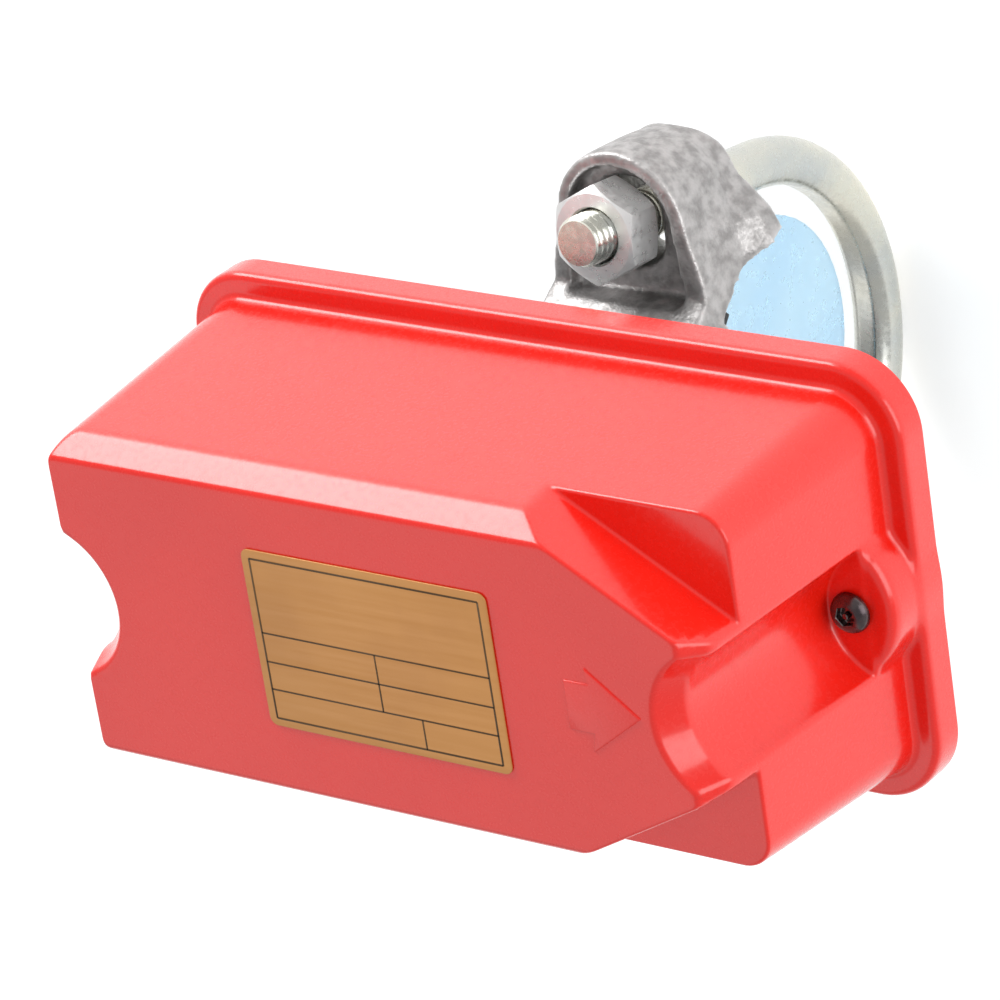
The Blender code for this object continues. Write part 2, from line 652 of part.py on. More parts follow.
def make_pan_screw(name, x, y, seat_z, end_z, material):
    turned(name, [
        (0, PAN_HEAD_HEIGHT),
        (PAN_HEAD_RADIUS * 0.6, PAN_HEAD_HEIGHT),
        (PAN_HEAD_RADIUS, PAN_HEAD_HEIGHT * 0.45),
        (PAN_HEAD_RADIUS, 0),
        (PAN_SHANK_RADIUS, 0),
        (PAN_SHANK_RADIUS, end_z - seat_z),
        (0, end_z - seat_z),
    ], material, (x, y, seat_z), steps=SMALL_STEPS)


def make_base_screws():
    shank_end = SADDLE_TOP_Z - SADDLE_SCREW_DEPTH + SEAT_GAP
    for name, x, y in SADDLE_SCREW_PLACES:
        make_pan_screw(name, x, y, FLOOR_Z, shank_end, ZINC_PLATE)
    for name, x, y in FRAME_SCREW_PLACES + BRACKET_SCREW_PLACES:
        make_pan_screw(name, x, y, FLOOR_Z + BRACKET_THICKNESS + SEAT_GAP, BASE_BOTTOM_Z, ZINC_PLATE)
    for name, x, y in GROUND_SCREW_PLACE:
        make_pan_screw(name, x, y, FLOOR_Z, BASE_BOTTOM_Z, GREEN_ZINC)


SADDLE_SCREW_DEPTH = 6.0 * MM


# Saddle casting

def mirrored(half):
    """A half outline from its first point to its last, and back on the other side."""
    return half + [(-across, along) for across, along in reversed(half)]


def saddle_side_profile():
    """The casting seen along the pipe: neck, shoulders, ears and the arch over the pipe."""
    outer_y = EAR_CENTRE_Y + EAR_CAP_RADIUS
    arch_foot = atan2(EAR_FOOT_Z, sqrt(SADDLE_ARCH_RADIUS ** 2 - EAR_FOOT_Z ** 2))
    half = [(SADDLE_NECK_HALF_WIDTH, SADDLE_TOP_Z), (SADDLE_NECK_HALF_WIDTH + 1.5 * MM, SADDLE_TOP_Z - 7 * MM),
            (SADDLE_NECK_HALF_WIDTH + 4.5 * MM, EAR_RIM_Z + 6 * MM), (SADDLE_NECK_HALF_WIDTH + 8.5 * MM, EAR_RIM_Z),
            (outer_y + MM, EAR_RIM_Z), (outer_y - MM, EAR_FOOT_Z + 4 * MM),
            (outer_y - 3 * MM, EAR_FOOT_Z + 1 * MM), (outer_y - 5 * MM, EAR_FOOT_Z)]
    half.extend(arc((0, 0), SADDLE_ARCH_RADIUS, arch_foot * 180 / pi, 90, 14))
    return half[:-1] + [(0, SADDLE_ARCH_RADIUS)] + [(-y, z) for y, z in reversed(half[:-1])]


def ear_plan(cap_radius, waist, middle, inner):
    """The casting seen from the cover: a straight body and sides that taper to a round cap."""
    half = [(SADDLE_HALF_LENGTH, SADDLE_NECK_HALF_WIDTH - 2 * MM), (inner, EAR_CENTRE_Y - 17 * MM),
            (middle, EAR_CENTRE_Y - 8 * MM), (waist, EAR_CENTRE_Y - 3 * MM)]
    cap = list(arc((0, EAR_CENTRE_Y), cap_radius, 15, 165, 14))
    half = half + cap + [(-x, y) for x, y in reversed(half)]
    return half + [(-x, -y) for x, y in half]


def make_ear_blank():
    """The ears' flanks: narrow caps at the back, flared feet, and the rim in front."""
    back_cap = EAR_BACK_CAP_RADIUS
    flank = EAR_CAP_RADIUS + 1.6 * MM
    sections = [
        (ear_plan(back_cap, FOOT_HALF_LENGTH - 2.5 * MM, FOOT_HALF_LENGTH, FOOT_HALF_LENGTH - MM), 0),
        (ear_plan(back_cap, FOOT_HALF_LENGTH - 2.5 * MM, FOOT_HALF_LENGTH, FOOT_HALF_LENGTH - MM),
         EAR_FOOT_Z + 4 * MM),
        (ear_plan(back_cap + 0.8 * MM, flank, flank + 1.5 * MM, flank + 3 * MM), EAR_FOOT_Z + 9 * MM),
        (ear_plan(EAR_CAP_RADIUS, flank - 0.8 * MM, flank + 0.6 * MM, flank + 2 * MM), EAR_RIM_Z - 3 * MM),
        (ear_plan(EAR_CAP_RADIUS, flank - 0.8 * MM, flank + 0.6 * MM, flank + 2 * MM), FRONT_Z),
    ]
    return loft("saddle_plan", sections, split=True)


def make_saddle():
    saddle = slab("saddle", saddle_side_profile(), -SADDLE_HALF_LENGTH - MM, SADDLE_HALF_LENGTH + MM,
                  CAST_ALUMINIUM, plane="YZ")
    common(saddle, make_ear_blank())
    recess_radius = EAR_CAP_RADIUS - EAR_RIM_WIDTH
    recess_x = BOLT_BEND_CENTRE[0] / 3
    for side, ear in ((1, "upper"), (-1, "lower")):
        recess = rod("nut_recess_" + ear, recess_radius, (recess_x, side * EAR_CENTRE_Y, NUT_SEAT_Z),
                     (recess_x, side * EAR_CENTRE_Y, FRONT_Z))
        inner_y = EAR_CENTRE_Y - 14.0 * MM
        trough = [(recess_x + recess_radius, side * EAR_CENTRE_Y),
                  (recess_x + recess_radius + 1.5 * MM, side * inner_y),
                  (recess_x - recess_radius - 1.5 * MM, side * inner_y),
                  (recess_x - recess_radius, side * EAR_CENTRE_Y)]
        fuse(recess, slab("nut_trough_" + ear, trough, NUT_SEAT_Z, FRONT_Z))
        cut(saddle, recess)
        slot_low = min(side * SLOT_INNER_Y, side * SLOT_OUTER_Y)
        slot_high = max(side * SLOT_INNER_Y, side * SLOT_OUTER_Y)
        slot = rounded_rectangle((-SLOT_HALF_WIDTH, slot_low), (SLOT_HALF_WIDTH, slot_high),
                                 SLOT_HALF_WIDTH * 0.98)
        cut(saddle, slab("bolt_slot_" + ear, slot, 0, FRONT_Z))
    cut(saddle, rod("stem_bore", STEM_BORE_RADIUS, (0, 0, 0), (0, 0, FRONT_Z)))
    for name, x, y in SADDLE_SCREW_PLACES:
        cut(saddle, rod("tapping_" + name, PAN_SHANK_RADIUS + RUNNING_GAP,
                        (x, y, SADDLE_TOP_Z - SADDLE_SCREW_DEPTH), (x, y, FRONT_Z), steps=SMALL_STEPS))


def make_saddle_gasket():
    """A curved rubber pad between the saddle's arch and the pipe, with a hole for the vane."""
    inner = PIPE_RADIUS + SEAT_GAP
    outer = inner + SADDLE_GASKET_THICKNESS
    half = SADDLE_GASKET_HALF_ANGLE * 180 / pi
    outline = list(arc((0, 0), outer, 90 - half, 90 + half, 20))
    outline.extend(reversed(list(arc((0, 0), inner, 90 - half, 90 + half, 20))))
    gasket = slab("saddle_gasket", outline, -FOOT_HALF_LENGTH + 4 * MM, FOOT_HALF_LENGTH - 4 * MM,
                  BLACK_RUBBER, plane="YZ")
    cut(gasket, rod("gasket_bore", STEM_BORE_RADIUS, (0, 0, 0), (0, 0, FRONT_Z)))


# U-bolt and nuts

def bolt_place(turn=0.0, centre=(0, 0, 0)):
    """A place on the loose U-bolt, measured from the middle of its bend and turned about X."""
    return (Matrix.Translation(BOLT_BEND_CENTRE) @ Matrix.Rotation(-BOLT_DROOP, 4, "X")
            @ Matrix.Translation(centre) @ Matrix.Rotation(turn, 4, "X"))


def leg_offset(height):
    """Distance of a leg from the middle plane at a height over the bend."""
    return BOLT_BEND_RADIUS + height * tan(BOLT_SPLAY)


def make_u_bolt():
    """Two legs that spread a little, joined by a half circle."""
    splay = BOLT_SPLAY * 180 / pi
    bend = list(arc((0, 0), BOLT_BEND_RADIUS, -splay, -180 + splay, BOLT_BEND_STEPS))
    top = (leg_offset(BOLT_LEG_HEIGHT), BOLT_LEG_HEIGHT)
    route = [top] + bend + [(-top[0], top[1])]
    curve = bpy.data.curves.new("u_bolt", "CURVE")
    curve.dimensions = "3D"
    curve.bevel_depth = BOLT_RADIUS
    curve.bevel_resolution = 3
    curve.use_fill_caps = True
    spline = curve.splines.new("POLY")
    spline.points.add(len(route) - 1)
    for point, (y, z) in zip(spline.points, route):
        point.co = (0, y, z, 1)
    mesh = curve_to_mesh("u_bolt", curve, Matrix.Identity(4))
    item = add_object("u_bolt", mesh, ZINC_PLATE)
    item.matrix_world = bolt_place()
    shade_round(item)


def make_nut(name, side, height):
    """A hexagon nut with chamfered corners on one leg of the U-bolt."""
    corner_radius = NUT_ACROSS_FLATS / 2 / cos(pi / 6)
    place = bolt_place(-side * BOLT_SPLAY, (0, side * leg_offset(height), height))
    bm = bmesh.new()
    bmesh.ops.create_cone(bm, cap_ends=True, segments=6, radius1=corner_radius, radius2=corner_radius,
                          depth=NUT_HEIGHT)
    nut = add_object(name, mesh_from(bm, name), ZINC_PLATE)
    nut.matrix_world = place
    half = NUT_HEIGHT / 2
    fade = (corner_radius - NUT_ACROSS_FLATS / 2) * tan(radians(32))
    rounding = turned(name + "_chamfer", [
        (0, half), (NUT_ACROSS_FLATS / 2, half), (corner_radius, half - fade),
        (corner_radius, -half + fade), (NUT_ACROSS_FLATS / 2, -half), (0, -half)])
    rounding.matrix_world = place
    common(nut, rounding)
    bore = rod(name + "_bore", NUT_BORE_RADIUS, (0, 0, -NUT_HEIGHT), (0, 0, NUT_HEIGHT), steps=SMALL_STEPS)
    bore.matrix_world = place
    cut(nut, bore)


# Vane, stem and trip lever, which turn together on the pivot pin

def vane_outline():
    """A disc on a narrow neck, in the plane across the flow."""
    join = NECK_ANGLE
    outline = [(VANE_NECK_HALF_WIDTH, VANE_NECK_TOP_Z)]
    outline.extend(arc((0, VANE_CENTRE_Z), VANE_RADIUS, 90 - join, -270 + join, 44))
    outline.append((-VANE_NECK_HALF_WIDTH, VANE_NECK_TOP_Z))
    return outline


NECK_ANGLE = atan2(VANE_NECK_HALF_WIDTH, sqrt(VANE_RADIUS ** 2 - VANE_NECK_HALF_WIDTH ** 2)) * 180 / pi


def lean(item, height):
    """Leans a piece sideways about the pipe's direction, at a height on the stem."""
    turn = Matrix.Rotation(VANE_LEAN, 4, "X")
    about = Matrix.Translation((0, 0, height))
    item.matrix_world = about @ turn @ about.inverted() @ item.matrix_world


def make_vane():
    vane = slab("vane", vane_outline(), -VANE_THICKNESS / 2, VANE_THICKNESS / 2, BLUE_VANE, plane="YZ")
    bpy.context.view_layer.update()
    lean(vane, VANE_NECK_TOP_Z)
    for index, place in enumerate(RIVET_HEIGHTS):
        hole = rod("vane_hole_%d" % (index + 1), RIVET_RADIUS + RUNNING_GAP, (-10 * MM, 0, place),
                   (10 * MM, 0, place), steps=SMALL_STEPS)
        cut(vane, hole)


RIVET_HEIGHTS = (VANE_NECK_TOP_Z - 4 * MM, VANE_NECK_TOP_Z - 10 * MM)


def make_vane_clamp():
    """A plate on the downstream side that holds the vane against the flat of the stem."""
    low_x = VANE_THICKNESS / 2 + SEAT_GAP
    plate = box("vane_clamp", (low_x, -CLAMP_HALF_WIDTH, VANE_NECK_TOP_Z - CLAMP_LENGTH),
                (low_x + CLAMP_THICKNESS, CLAMP_HALF_WIDTH, VANE_NECK_TOP_Z - MM), BRIGHT_STEEL)
    flat_low_x = -VANE_THICKNESS / 2 - SEAT_GAP - CLAMP_THICKNESS
    for index, place in enumerate(RIVET_HEIGHTS):
        cut(plate, rod("clamp_hole_%d" % (index + 1), RIVET_RADIUS + RUNNING_GAP, (-10 * MM, 0, place),
                       (10 * MM, 0, place), steps=SMALL_STEPS))
        head_x = low_x + CLAMP_THICKNESS + SEAT_GAP
        tail_x = flat_low_x - SEAT_GAP
        rivet = turned("vane_rivet_%d" % (index + 1), [
            (0, head_x + RIVET_HEAD_HEIGHT),
            (RIVET_HEAD_RADIUS * 0.6, head_x + RIVET_HEAD_HEIGHT),
            (RIVET_HEAD_RADIUS, head_x + RIVET_HEAD_HEIGHT * 0.3),
            (RIVET_HEAD_RADIUS, head_x),
            (RIVET_RADIUS, head_x),
            (RIVET_RADIUS, tail_x),
            (RIVET_HEAD_RADIUS, tail_x),
            (RIVET_HEAD_RADIUS * 0.6, tail_x - RIVET_HEAD_HEIGHT * 0.7),
            (0, tail_x - RIVET_HEAD_HEIGHT * 0.7),
        ], BRIGHT_STEEL, (0, 0, place), steps=12)
        rivet.rotation_euler = (0, pi / 2, 0)


def make_trip_lever():
    """Stem, hub, arm and crossbar in one moulding; the arm lifts the delay rod and the buttons."""
    lever = rod("trip_lever", HUB_RADIUS, (0, -HUB_HALF_WIDTH, PIVOT_Z), (0, HUB_HALF_WIDTH, PIVOT_Z), BRIGHT_STEEL)
    stem = rod("lever_stem", STEM_RADIUS, (0, 0, STEM_END_Z), (0, 0, PIVOT_Z))
    flat_x = -VANE_THICKNESS / 2 - SEAT_GAP
    flat = box("lever_flat", (flat_x - CLAMP_THICKNESS, -CLAMP_HALF_WIDTH, VANE_NECK_TOP_Z - CLAMP_LENGTH),
               (flat_x, CLAMP_HALF_WIDTH, STEM_END_Z + 1.5 * MM))
    low_z, high_z = PIVOT_Z - ARM_THICKNESS / 2, ARM_TOP_Z
    arm = box("lever_arm", (0, -ARM_HALF_WIDTH, low_z), (ARM_LENGTH, ARM_HALF_WIDTH, high_z))
    crossbar = box("lever_crossbar", (ARM_LENGTH - CROSSBAR_HALF_WIDTH, -CROSSBAR_HALF_LENGTH, low_z + 0.1 * MM),
                   (ARM_LENGTH + CROSSBAR_HALF_WIDTH, CROSSBAR_HALF_LENGTH, high_z - 0.05 * MM))
    fuse(lever, stem, flat, arm, crossbar)
    cut(lever, rod("lever_bore", PIVOT_PIN_RADIUS + RUNNING_GAP, (0, -20 * MM, PIVOT_Z), (0, 20 * MM, PIVOT_Z),
                   steps=SMALL_STEPS))
    for index, place in enumerate(RIVET_HEIGHTS):
        cut(lever, rod("flat_hole_%d" % (index + 1), RIVET_RADIUS + RUNNING_GAP, (-10 * MM, 0, place),
                       (10 * MM, 0, place), steps=SMALL_STEPS))
    lever.data.update()


def make_pivot_bracket():
    """A folded strip on the base plate: a floor with two ears that hold the pivot pin."""
    half_length = BRACKET_LENGTH / 2
    inner_y = HUB_HALF_WIDTH + SEAT_GAP
    outer_y = inner_y + BRACKET_THICKNESS
    bracket = box("pivot_bracket", (-half_length, -outer_y, FLOOR_Z),
                  (half_length, outer_y, FLOOR_Z + BRACKET_THICKNESS), BRIGHT_STEEL)
    half_ear = BRACKET_EAR_LENGTH / 2
    for side, ear in ((1, "upper"), (-1, "lower")):
        y_low, y_high = sorted((side * inner_y, side * outer_y))
        fuse(bracket, box("bracket_ear_" + ear, (-half_ear, y_low, FLOOR_Z + 0.2 * MM),
                          (half_ear, y_high, PIVOT_Z)))
        fuse(bracket, rod("bracket_round_" + ear, half_ear, (0, y_low, PIVOT_Z), (0, y_high, PIVOT_Z)))
    cut(bracket, rod("bracket_window", BOOT_RADIUS + RUNNING_GAP, (0, 0, 0), (0, 0, PIVOT_Z)))
    cut(bracket, rod("bracket_bore", PIVOT_PIN_RADIUS + RUNNING_GAP, (0, -30 * MM, PIVOT_Z),
                     (0, 30 * MM, PIVOT_Z), steps=SMALL_STEPS))
    for name, x, y in BRACKET_SCREW_PLACES:
        cut(bracket, rod("bracket_hole_" + name, PAN_SHANK_RADIUS + RUNNING_GAP, (x, y, 0), (x, y, FRONT_Z),
                         steps=SMALL_STEPS))


def make_pivot_pin():
    reach = HUB_HALF_WIDTH + SEAT_GAP + BRACKET_THICKNESS + SEAT_GAP
    head = 0.8 * MM
    pin = turned("pivot_pin", [
        (0, reach + head),
        (PIVOT_PIN_RADIUS * 1.5, reach + head),
        (PIVOT_PIN_RADIUS * 1.5, reach),
        (PIVOT_PIN_RADIUS, reach),
        (PIVOT_PIN_RADIUS, -reach),
        (0, -reach),
    ], ZINC_PLATE, (0, 0, PIVOT_Z), steps=SMALL_STEPS)
    pin.rotation_euler = (pi / 2, 0, 0)


def make_stem_boot():
    """A rubber cone that seals the stem where it leaves the housing."""
    bore = STEM_RADIUS + BOOT_BORE_GAP
    lip_top = FLOOR_Z + BOOT_LIP
    outer = BOOT_RADIUS - BOOT_LIP - RUNNING_GAP
    turned("stem_boot", [
        (bore, lip_top),
        (BOOT_RADIUS, lip_top),
        (BOOT_RADIUS, FLOOR_Z),
        (outer, FLOOR_Z),
        (bore + BOOT_WALL, FLOOR_Z - BOOT_DROP),
        (bore, FLOOR_Z - BOOT_DROP),
        (bore, lip_top),
    ], BLACK_RUBBER)


# Delay unit, switches and their frame

def make_mechanism_frame():
    """A bent plate across the arm: two feet, two legs and the shelf on top of them."""
    shelf_low = FRAME_TOP_Z - BRACKET_THICKNESS
    frame = box("mechanism_frame", (FRAME_START_X, -FRAME_HALF_WIDTH, shelf_low),
                (FRAME_END_X, FRAME_HALF_WIDTH, FRAME_TOP_Z), BRIGHT_STEEL)
    leg_low_x, leg_high_x = ARM_LENGTH - FRAME_LEG_HALF_LENGTH, ARM_LENGTH + FRAME_LEG_HALF_LENGTH
    for side, edge in ((1, "upper"), (-1, "lower")):
        leg_y = sorted((side * FRAME_HALF_WIDTH, side * (FRAME_HALF_WIDTH - BRACKET_THICKNESS)))
        foot_y = sorted((side * FRAME_HALF_WIDTH, side * (FRAME_HALF_WIDTH - FRAME_FOOT_WIDTH)))
        fuse(frame, box("frame_leg_" + edge, (leg_low_x, leg_y[0], FLOOR_Z + 0.1 * MM),
                        (leg_high_x, leg_y[1], FRAME_TOP_Z - 0.1 * MM)))
        fuse(frame, box("frame_foot_" + edge, (leg_low_x + 0.1 * MM, foot_y[0] + 0.05 * MM, FLOOR_Z),
                        (leg_high_x - 0.1 * MM, foot_y[1] - 0.05 * MM, FLOOR_Z + BRACKET_THICKNESS)))
        button_y = side * SWITCH_CENTRE_Y
        cut(frame, rod("button_way_" + edge, BUTTON_RADIUS + RUNNING_GAP, (ARM_LENGTH, button_y, 0),
                       (ARM_LENGTH, button_y, FRONT_Z), steps=SMALL_STEPS))
    cut(frame, rod("rod_way", PLUNGER_ROD_RADIUS + RUNNING_GAP, (ARM_LENGTH, 0, 0), (ARM_LENGTH, 0, FRONT_Z),
                   steps=SMALL_STEPS))
    for name, x, y in FRAME_SCREW_PLACES:
        cut(frame, rod("frame_hole_" + name, PAN_SHANK_RADIUS + RUNNING_GAP, (x, y, 0), (x, y, PIVOT_Z),
                       steps=SMALL_STEPS))


def make_delay_unit():
    """A pneumatic cup over a piston; the dial on its top sets the bleed."""
    bore_top = FRAME_SEAT_Z + DELAY_BORE_DEPTH
    body = turned("delay_body", [
        (0, DELAY_TOP_Z),
        (DELAY_RADIUS - 2.0 * MM, DELAY_TOP_Z),
        (DELAY_RADIUS - 1.0 * MM, DELAY_TOP_Z - MM),
        (DELAY_RADIUS - 1.0 * MM, FRAME_SEAT_Z + 3 * MM),
        (DELAY_RADIUS, FRAME_SEAT_Z + 3 * MM),
        (DELAY_RADIUS, FRAME_SEAT_Z),
        (DELAY_BORE_RADIUS, FRAME_SEAT_Z),
        (DELAY_BORE_RADIUS, bore_top),
        (0, bore_top),
    ], BLACK_PLASTIC, (ARM_LENGTH, 0, 0))
    cut(body, rod("dial_socket", DIAL_STEM_RADIUS + RUNNING_GAP, (ARM_LENGTH, 0, bore_top + MM),
                  (ARM_LENGTH, 0, FRONT_Z), steps=SMALL_STEPS))


PISTON_LOW_Z = FRAME_SEAT_Z + 0.8 * MM
PISTON_TOP_Z = PISTON_LOW_Z + PLUNGER_HEAD_HEIGHT


def make_delay_plunger():
    turned("delay_plunger", [
        (0, PISTON_TOP_Z),
        (DELAY_BORE_RADIUS - RUNNING_GAP, PISTON_TOP_Z),
        (DELAY_BORE_RADIUS - RUNNING_GAP, PISTON_LOW_Z),
        (PLUNGER_ROD_RADIUS, PISTON_LOW_Z),
        (PLUNGER_ROD_RADIUS, BUTTON_FOOT_Z + 0.8 * MM),
        (PLUNGER_ROD_RADIUS * 0.6, BUTTON_FOOT_Z),
        (0, BUTTON_FOOT_Z),
    ], WHITE_NYLON, (ARM_LENGTH, 0, 0), empty("delay_plunger_axis", (ARM_LENGTH, 0, 0)))


def make_return_spring():
    """A compression spring between the piston and the roof of its bore."""
    low = PISTON_TOP_Z + SEAT_GAP + SPRING_WIRE_RADIUS
    high = FRAME_SEAT_Z + DELAY_BORE_DEPTH - SEAT_GAP - SPRING_WIRE_RADIUS
    radius = DELAY_BORE_RADIUS - 1.2 * MM
    count = SPRING_TURNS * SPRING_POINTS_PER_TURN
    curve = bpy.data.curves.new("return_spring", "CURVE")
    curve.dimensions = "3D"
    curve.bevel_depth = SPRING_WIRE_RADIUS
    curve.bevel_resolution = 1
    curve.use_fill_caps = True
    spline = curve.splines.new("POLY")
    spline.points.add(count)
    for index, point in enumerate(spline.points):
        turn = 2 * pi * index / SPRING_POINTS_PER_TURN
        point.co = (radius * cos(turn), radius * sin(turn), low + (high - low) * index / count, 1)
    mesh = curve_to_mesh("return_spring", curve, Matrix.Identity(4))
    item = add_object("return_spring", mesh, BRIGHT_STEEL)
    item.location = (ARM_LENGTH, 0, 0)


def make_delay_dial():
    """A fluted knob with a pointer slot on a short stem."""
    base_z = DELAY_TOP_Z + SEAT_GAP
    stem_low = FRAME_SEAT_Z + DELAY_BORE_DEPTH + MM + SEAT_GAP
    axis = empty("delay_dial_axis", (ARM_LENGTH, 0, base_z))
    dial = turned("delay_dial", [
        (0, DIAL_HEIGHT),
        (DIAL_RADIUS - 1.5 * MM, DIAL_HEIGHT),
        (DIAL_RADIUS - 0.5 * MM, DIAL_HEIGHT - MM),
        (DIAL_RADIUS, 0),
        (DIAL_STEM_RADIUS, 0),
        (DIAL_STEM_RADIUS, stem_low - base_z),
        (0, stem_low - base_z),
    ], WHITE_NYLON, (ARM_LENGTH, 0, base_z), axis, steps=48)
    for index in range(DIAL_FLUTES):
        angle = 2 * pi * (index + 0.5) / DIAL_FLUTES
        centre = Vector((ARM_LENGTH + (DIAL_RADIUS + 0.6 * MM) * cos(angle), (DIAL_RADIUS + 0.6 * MM) * sin(angle)))
        cut(dial, rod("flute_%d" % (index + 1), 1.3 * MM, (*centre, base_z - MM), (*centre, base_z + DIAL_HEIGHT + MM),
                      steps=8))
    top = base_z + DIAL_HEIGHT
    cut(dial, box("pointer_slot", (ARM_LENGTH - 0.5 * MM, 2 * MM, top - 0.8 * MM),
                  (ARM_LENGTH + 0.5 * MM, DIAL_RADIUS - 2.0 * MM, top + MM)))


def make_switch(letter, side):
    """A snap switch on the shelf, with its button below and three terminals on top."""
    low_x, high_x = ARM_LENGTH - SWITCH_LENGTH / 2, ARM_LENGTH + SWITCH_LENGTH / 2
    y_low, y_high = sorted((side * SWITCH_INNER_Y, side * (SWITCH_INNER_Y + SWITCH_WIDTH)))
    centre_y = side * SWITCH_CENTRE_Y
    name = "switch_" + letter
    body = box(name, (low_x, y_low, FRAME_SEAT_Z), (high_x, y_high, SWITCH_TOP_Z), BLACK_PLASTIC)
    barrier = 1.0 * MM
    for step in (-0.5, 0.5):
        middle = ARM_LENGTH + step * TERMINAL_PITCH
        fuse(body, box("%s_barrier_%d" % (name, step * 2), (middle - barrier / 2, y_low + 0.2 * MM, SWITCH_TOP_Z - MM),
                       (middle + barrier / 2, y_high - 0.2 * MM, SWITCH_TOP_Z + TERMINAL_HEIGHT)))
    cut(body, rod(name + "_button_bore", BUTTON_RADIUS + RUNNING_GAP, (ARM_LENGTH, centre_y, FRAME_SEAT_Z - MM),
                  (ARM_LENGTH, centre_y, FRAME_SEAT_Z + BUTTON_BORE_DEPTH), steps=SMALL_STEPS))
    rod(name + "_button", BUTTON_RADIUS, (ARM_LENGTH, centre_y, BUTTON_FOOT_Z),
        (ARM_LENGTH, centre_y, FRAME_SEAT_Z + BUTTON_INSERTION), WHITE_NYLON, steps=12)
    for index in (-1, 0, 1):
        x = ARM_LENGTH + index * TERMINAL_PITCH
        cut(body, rod("%s_post_hole_%d" % (name, index), TERMINAL_POST_RADIUS + RUNNING_GAP,
                      (x, centre_y, SWITCH_TOP_Z - TERMINAL_POST_DEPTH - SEAT_GAP), (x, centre_y, SWITCH_TOP_Z + 5 * MM),
                      steps=12))
        seat_z = SWITCH_TOP_Z + SEAT_GAP
        turned("%s_terminal_%d" % (name, index + 2), [
            (0, TERMINAL_HEIGHT),
            (TERMINAL_RADIUS * 0.75, TERMINAL_HEIGHT),
            (TERMINAL_RADIUS, TERMINAL_HEIGHT * 0.6),
            (TERMINAL_RADIUS, 0),
            (TERMINAL_POST_RADIUS, 0),
            (TERMINAL_POST_RADIUS, -TERMINAL_POST_DEPTH),
            (0, -TERMINAL_POST_DEPTH),
        ], BRASS, (x, centre_y, seat_z), steps=12)


def build():
    make_base_plate()
    make_cover_gasket()
    make_conduit_plug()
    make_base_screws()
    make_saddle()
    make_saddle_gasket()
    make_pivot_bracket()
    make_pivot_pin()
    make_stem_boot()
    make_mechanism_frame()
    make_delay_unit()
    make_delay_plunger()
    make_return_spring()
    make_delay_dial()
    make_switch("a", 1)
    make_switch("b", -1)
    make_trip_lever()
    make_vane()
    make_vane_clamp()
    make_u_bolt()
    make_nut("nut_upper", 1, UPPER_NUT_HEIGHT)
    make_nut("nut_lower", -1, LOWER_NUT_HEIGHT)
    make_cover()
    make_cover_screws()
    make_rating_plate()


build()
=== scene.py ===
"""Looks of a vane-type water flow detector: red cover, cast saddle, U-bolt, vane and mechanism.

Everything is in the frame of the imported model: metres, +X along the pipe, +Z towards the cover.
"""
import json

import bmesh
import bpy
import numpy as np
from mathutils import Matrix, Vector


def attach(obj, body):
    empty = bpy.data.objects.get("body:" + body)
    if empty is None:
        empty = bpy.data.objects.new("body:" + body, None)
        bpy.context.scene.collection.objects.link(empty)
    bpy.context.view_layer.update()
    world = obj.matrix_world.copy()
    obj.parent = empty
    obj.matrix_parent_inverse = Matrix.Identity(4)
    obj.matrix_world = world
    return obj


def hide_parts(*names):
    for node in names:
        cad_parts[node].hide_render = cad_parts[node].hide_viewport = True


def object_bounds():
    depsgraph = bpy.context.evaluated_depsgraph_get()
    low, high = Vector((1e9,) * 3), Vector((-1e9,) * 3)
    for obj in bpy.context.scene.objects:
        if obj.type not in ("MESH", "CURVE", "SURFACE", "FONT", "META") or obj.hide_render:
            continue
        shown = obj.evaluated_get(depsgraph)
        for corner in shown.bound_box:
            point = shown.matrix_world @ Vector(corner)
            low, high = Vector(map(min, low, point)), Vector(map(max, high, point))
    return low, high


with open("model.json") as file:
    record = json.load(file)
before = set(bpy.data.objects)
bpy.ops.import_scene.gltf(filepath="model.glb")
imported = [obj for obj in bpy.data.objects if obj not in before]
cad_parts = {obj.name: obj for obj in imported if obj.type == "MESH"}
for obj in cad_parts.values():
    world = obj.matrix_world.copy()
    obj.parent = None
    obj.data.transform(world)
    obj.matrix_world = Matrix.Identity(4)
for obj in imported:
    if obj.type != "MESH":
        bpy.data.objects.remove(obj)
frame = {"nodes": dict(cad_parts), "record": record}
CAD_BOX = [list(corner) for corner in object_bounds()]
NODES = frame["nodes"]
RECORD = frame["record"]
BODY_OF = {node: body for body, nodes in RECORD["behaviour"]["bodies"].items() for node in nodes}
SLOT_OF = {part["node"]: part["material_slot"] for part in RECORD["subparts"]}

MM = 0.001


# Sizes in millimetres

FRONT_Z = 114.0
STEP_Z = 102.1
BOSS_Z = 70.7
FLANGE_Z = 62.5
COVER_FOOT_Z = 56.1
COVER_WALL = 2.8
BOX_HALF_LENGTH = 64.7
BOX_HALF_WIDTH = 31.0
COVER_DRAFT = 0.083
FLANGE_HALF_LENGTH = 73.4
FLANGE_HALF_WIDTH = 40.05
FLANGE_CORNER = 13.1
FLANGE_WALL = 2.6
BOSS_X = 58.4
BOSS_RADIUS = 15.0
SCREW_X = 65.5
DROOP = np.radians(4.4)
SPLAY = np.radians(3.5)
BEND_CENTRE = (-1.2, -2.9, -3.4)
BEND_RADIUS = 41.0
LEG_LENGTH = 49.7
THREAD_LENGTH = 20.0
ROD_RADIUS = 4.52
ROD_FLAT = 4.2
PITCH = 1.5875
NUT_FLATS = 15.8
NUT_HALF_HEIGHT = 4.12

# How finely the cover's skins are divided, from a point inside it
STAR_CENTRE = np.array([0.0, 0.0, 45.0])
COVER_COLUMNS = 440
OUTER_ROWS = 165
INNER_ROWS = 55


# Materials

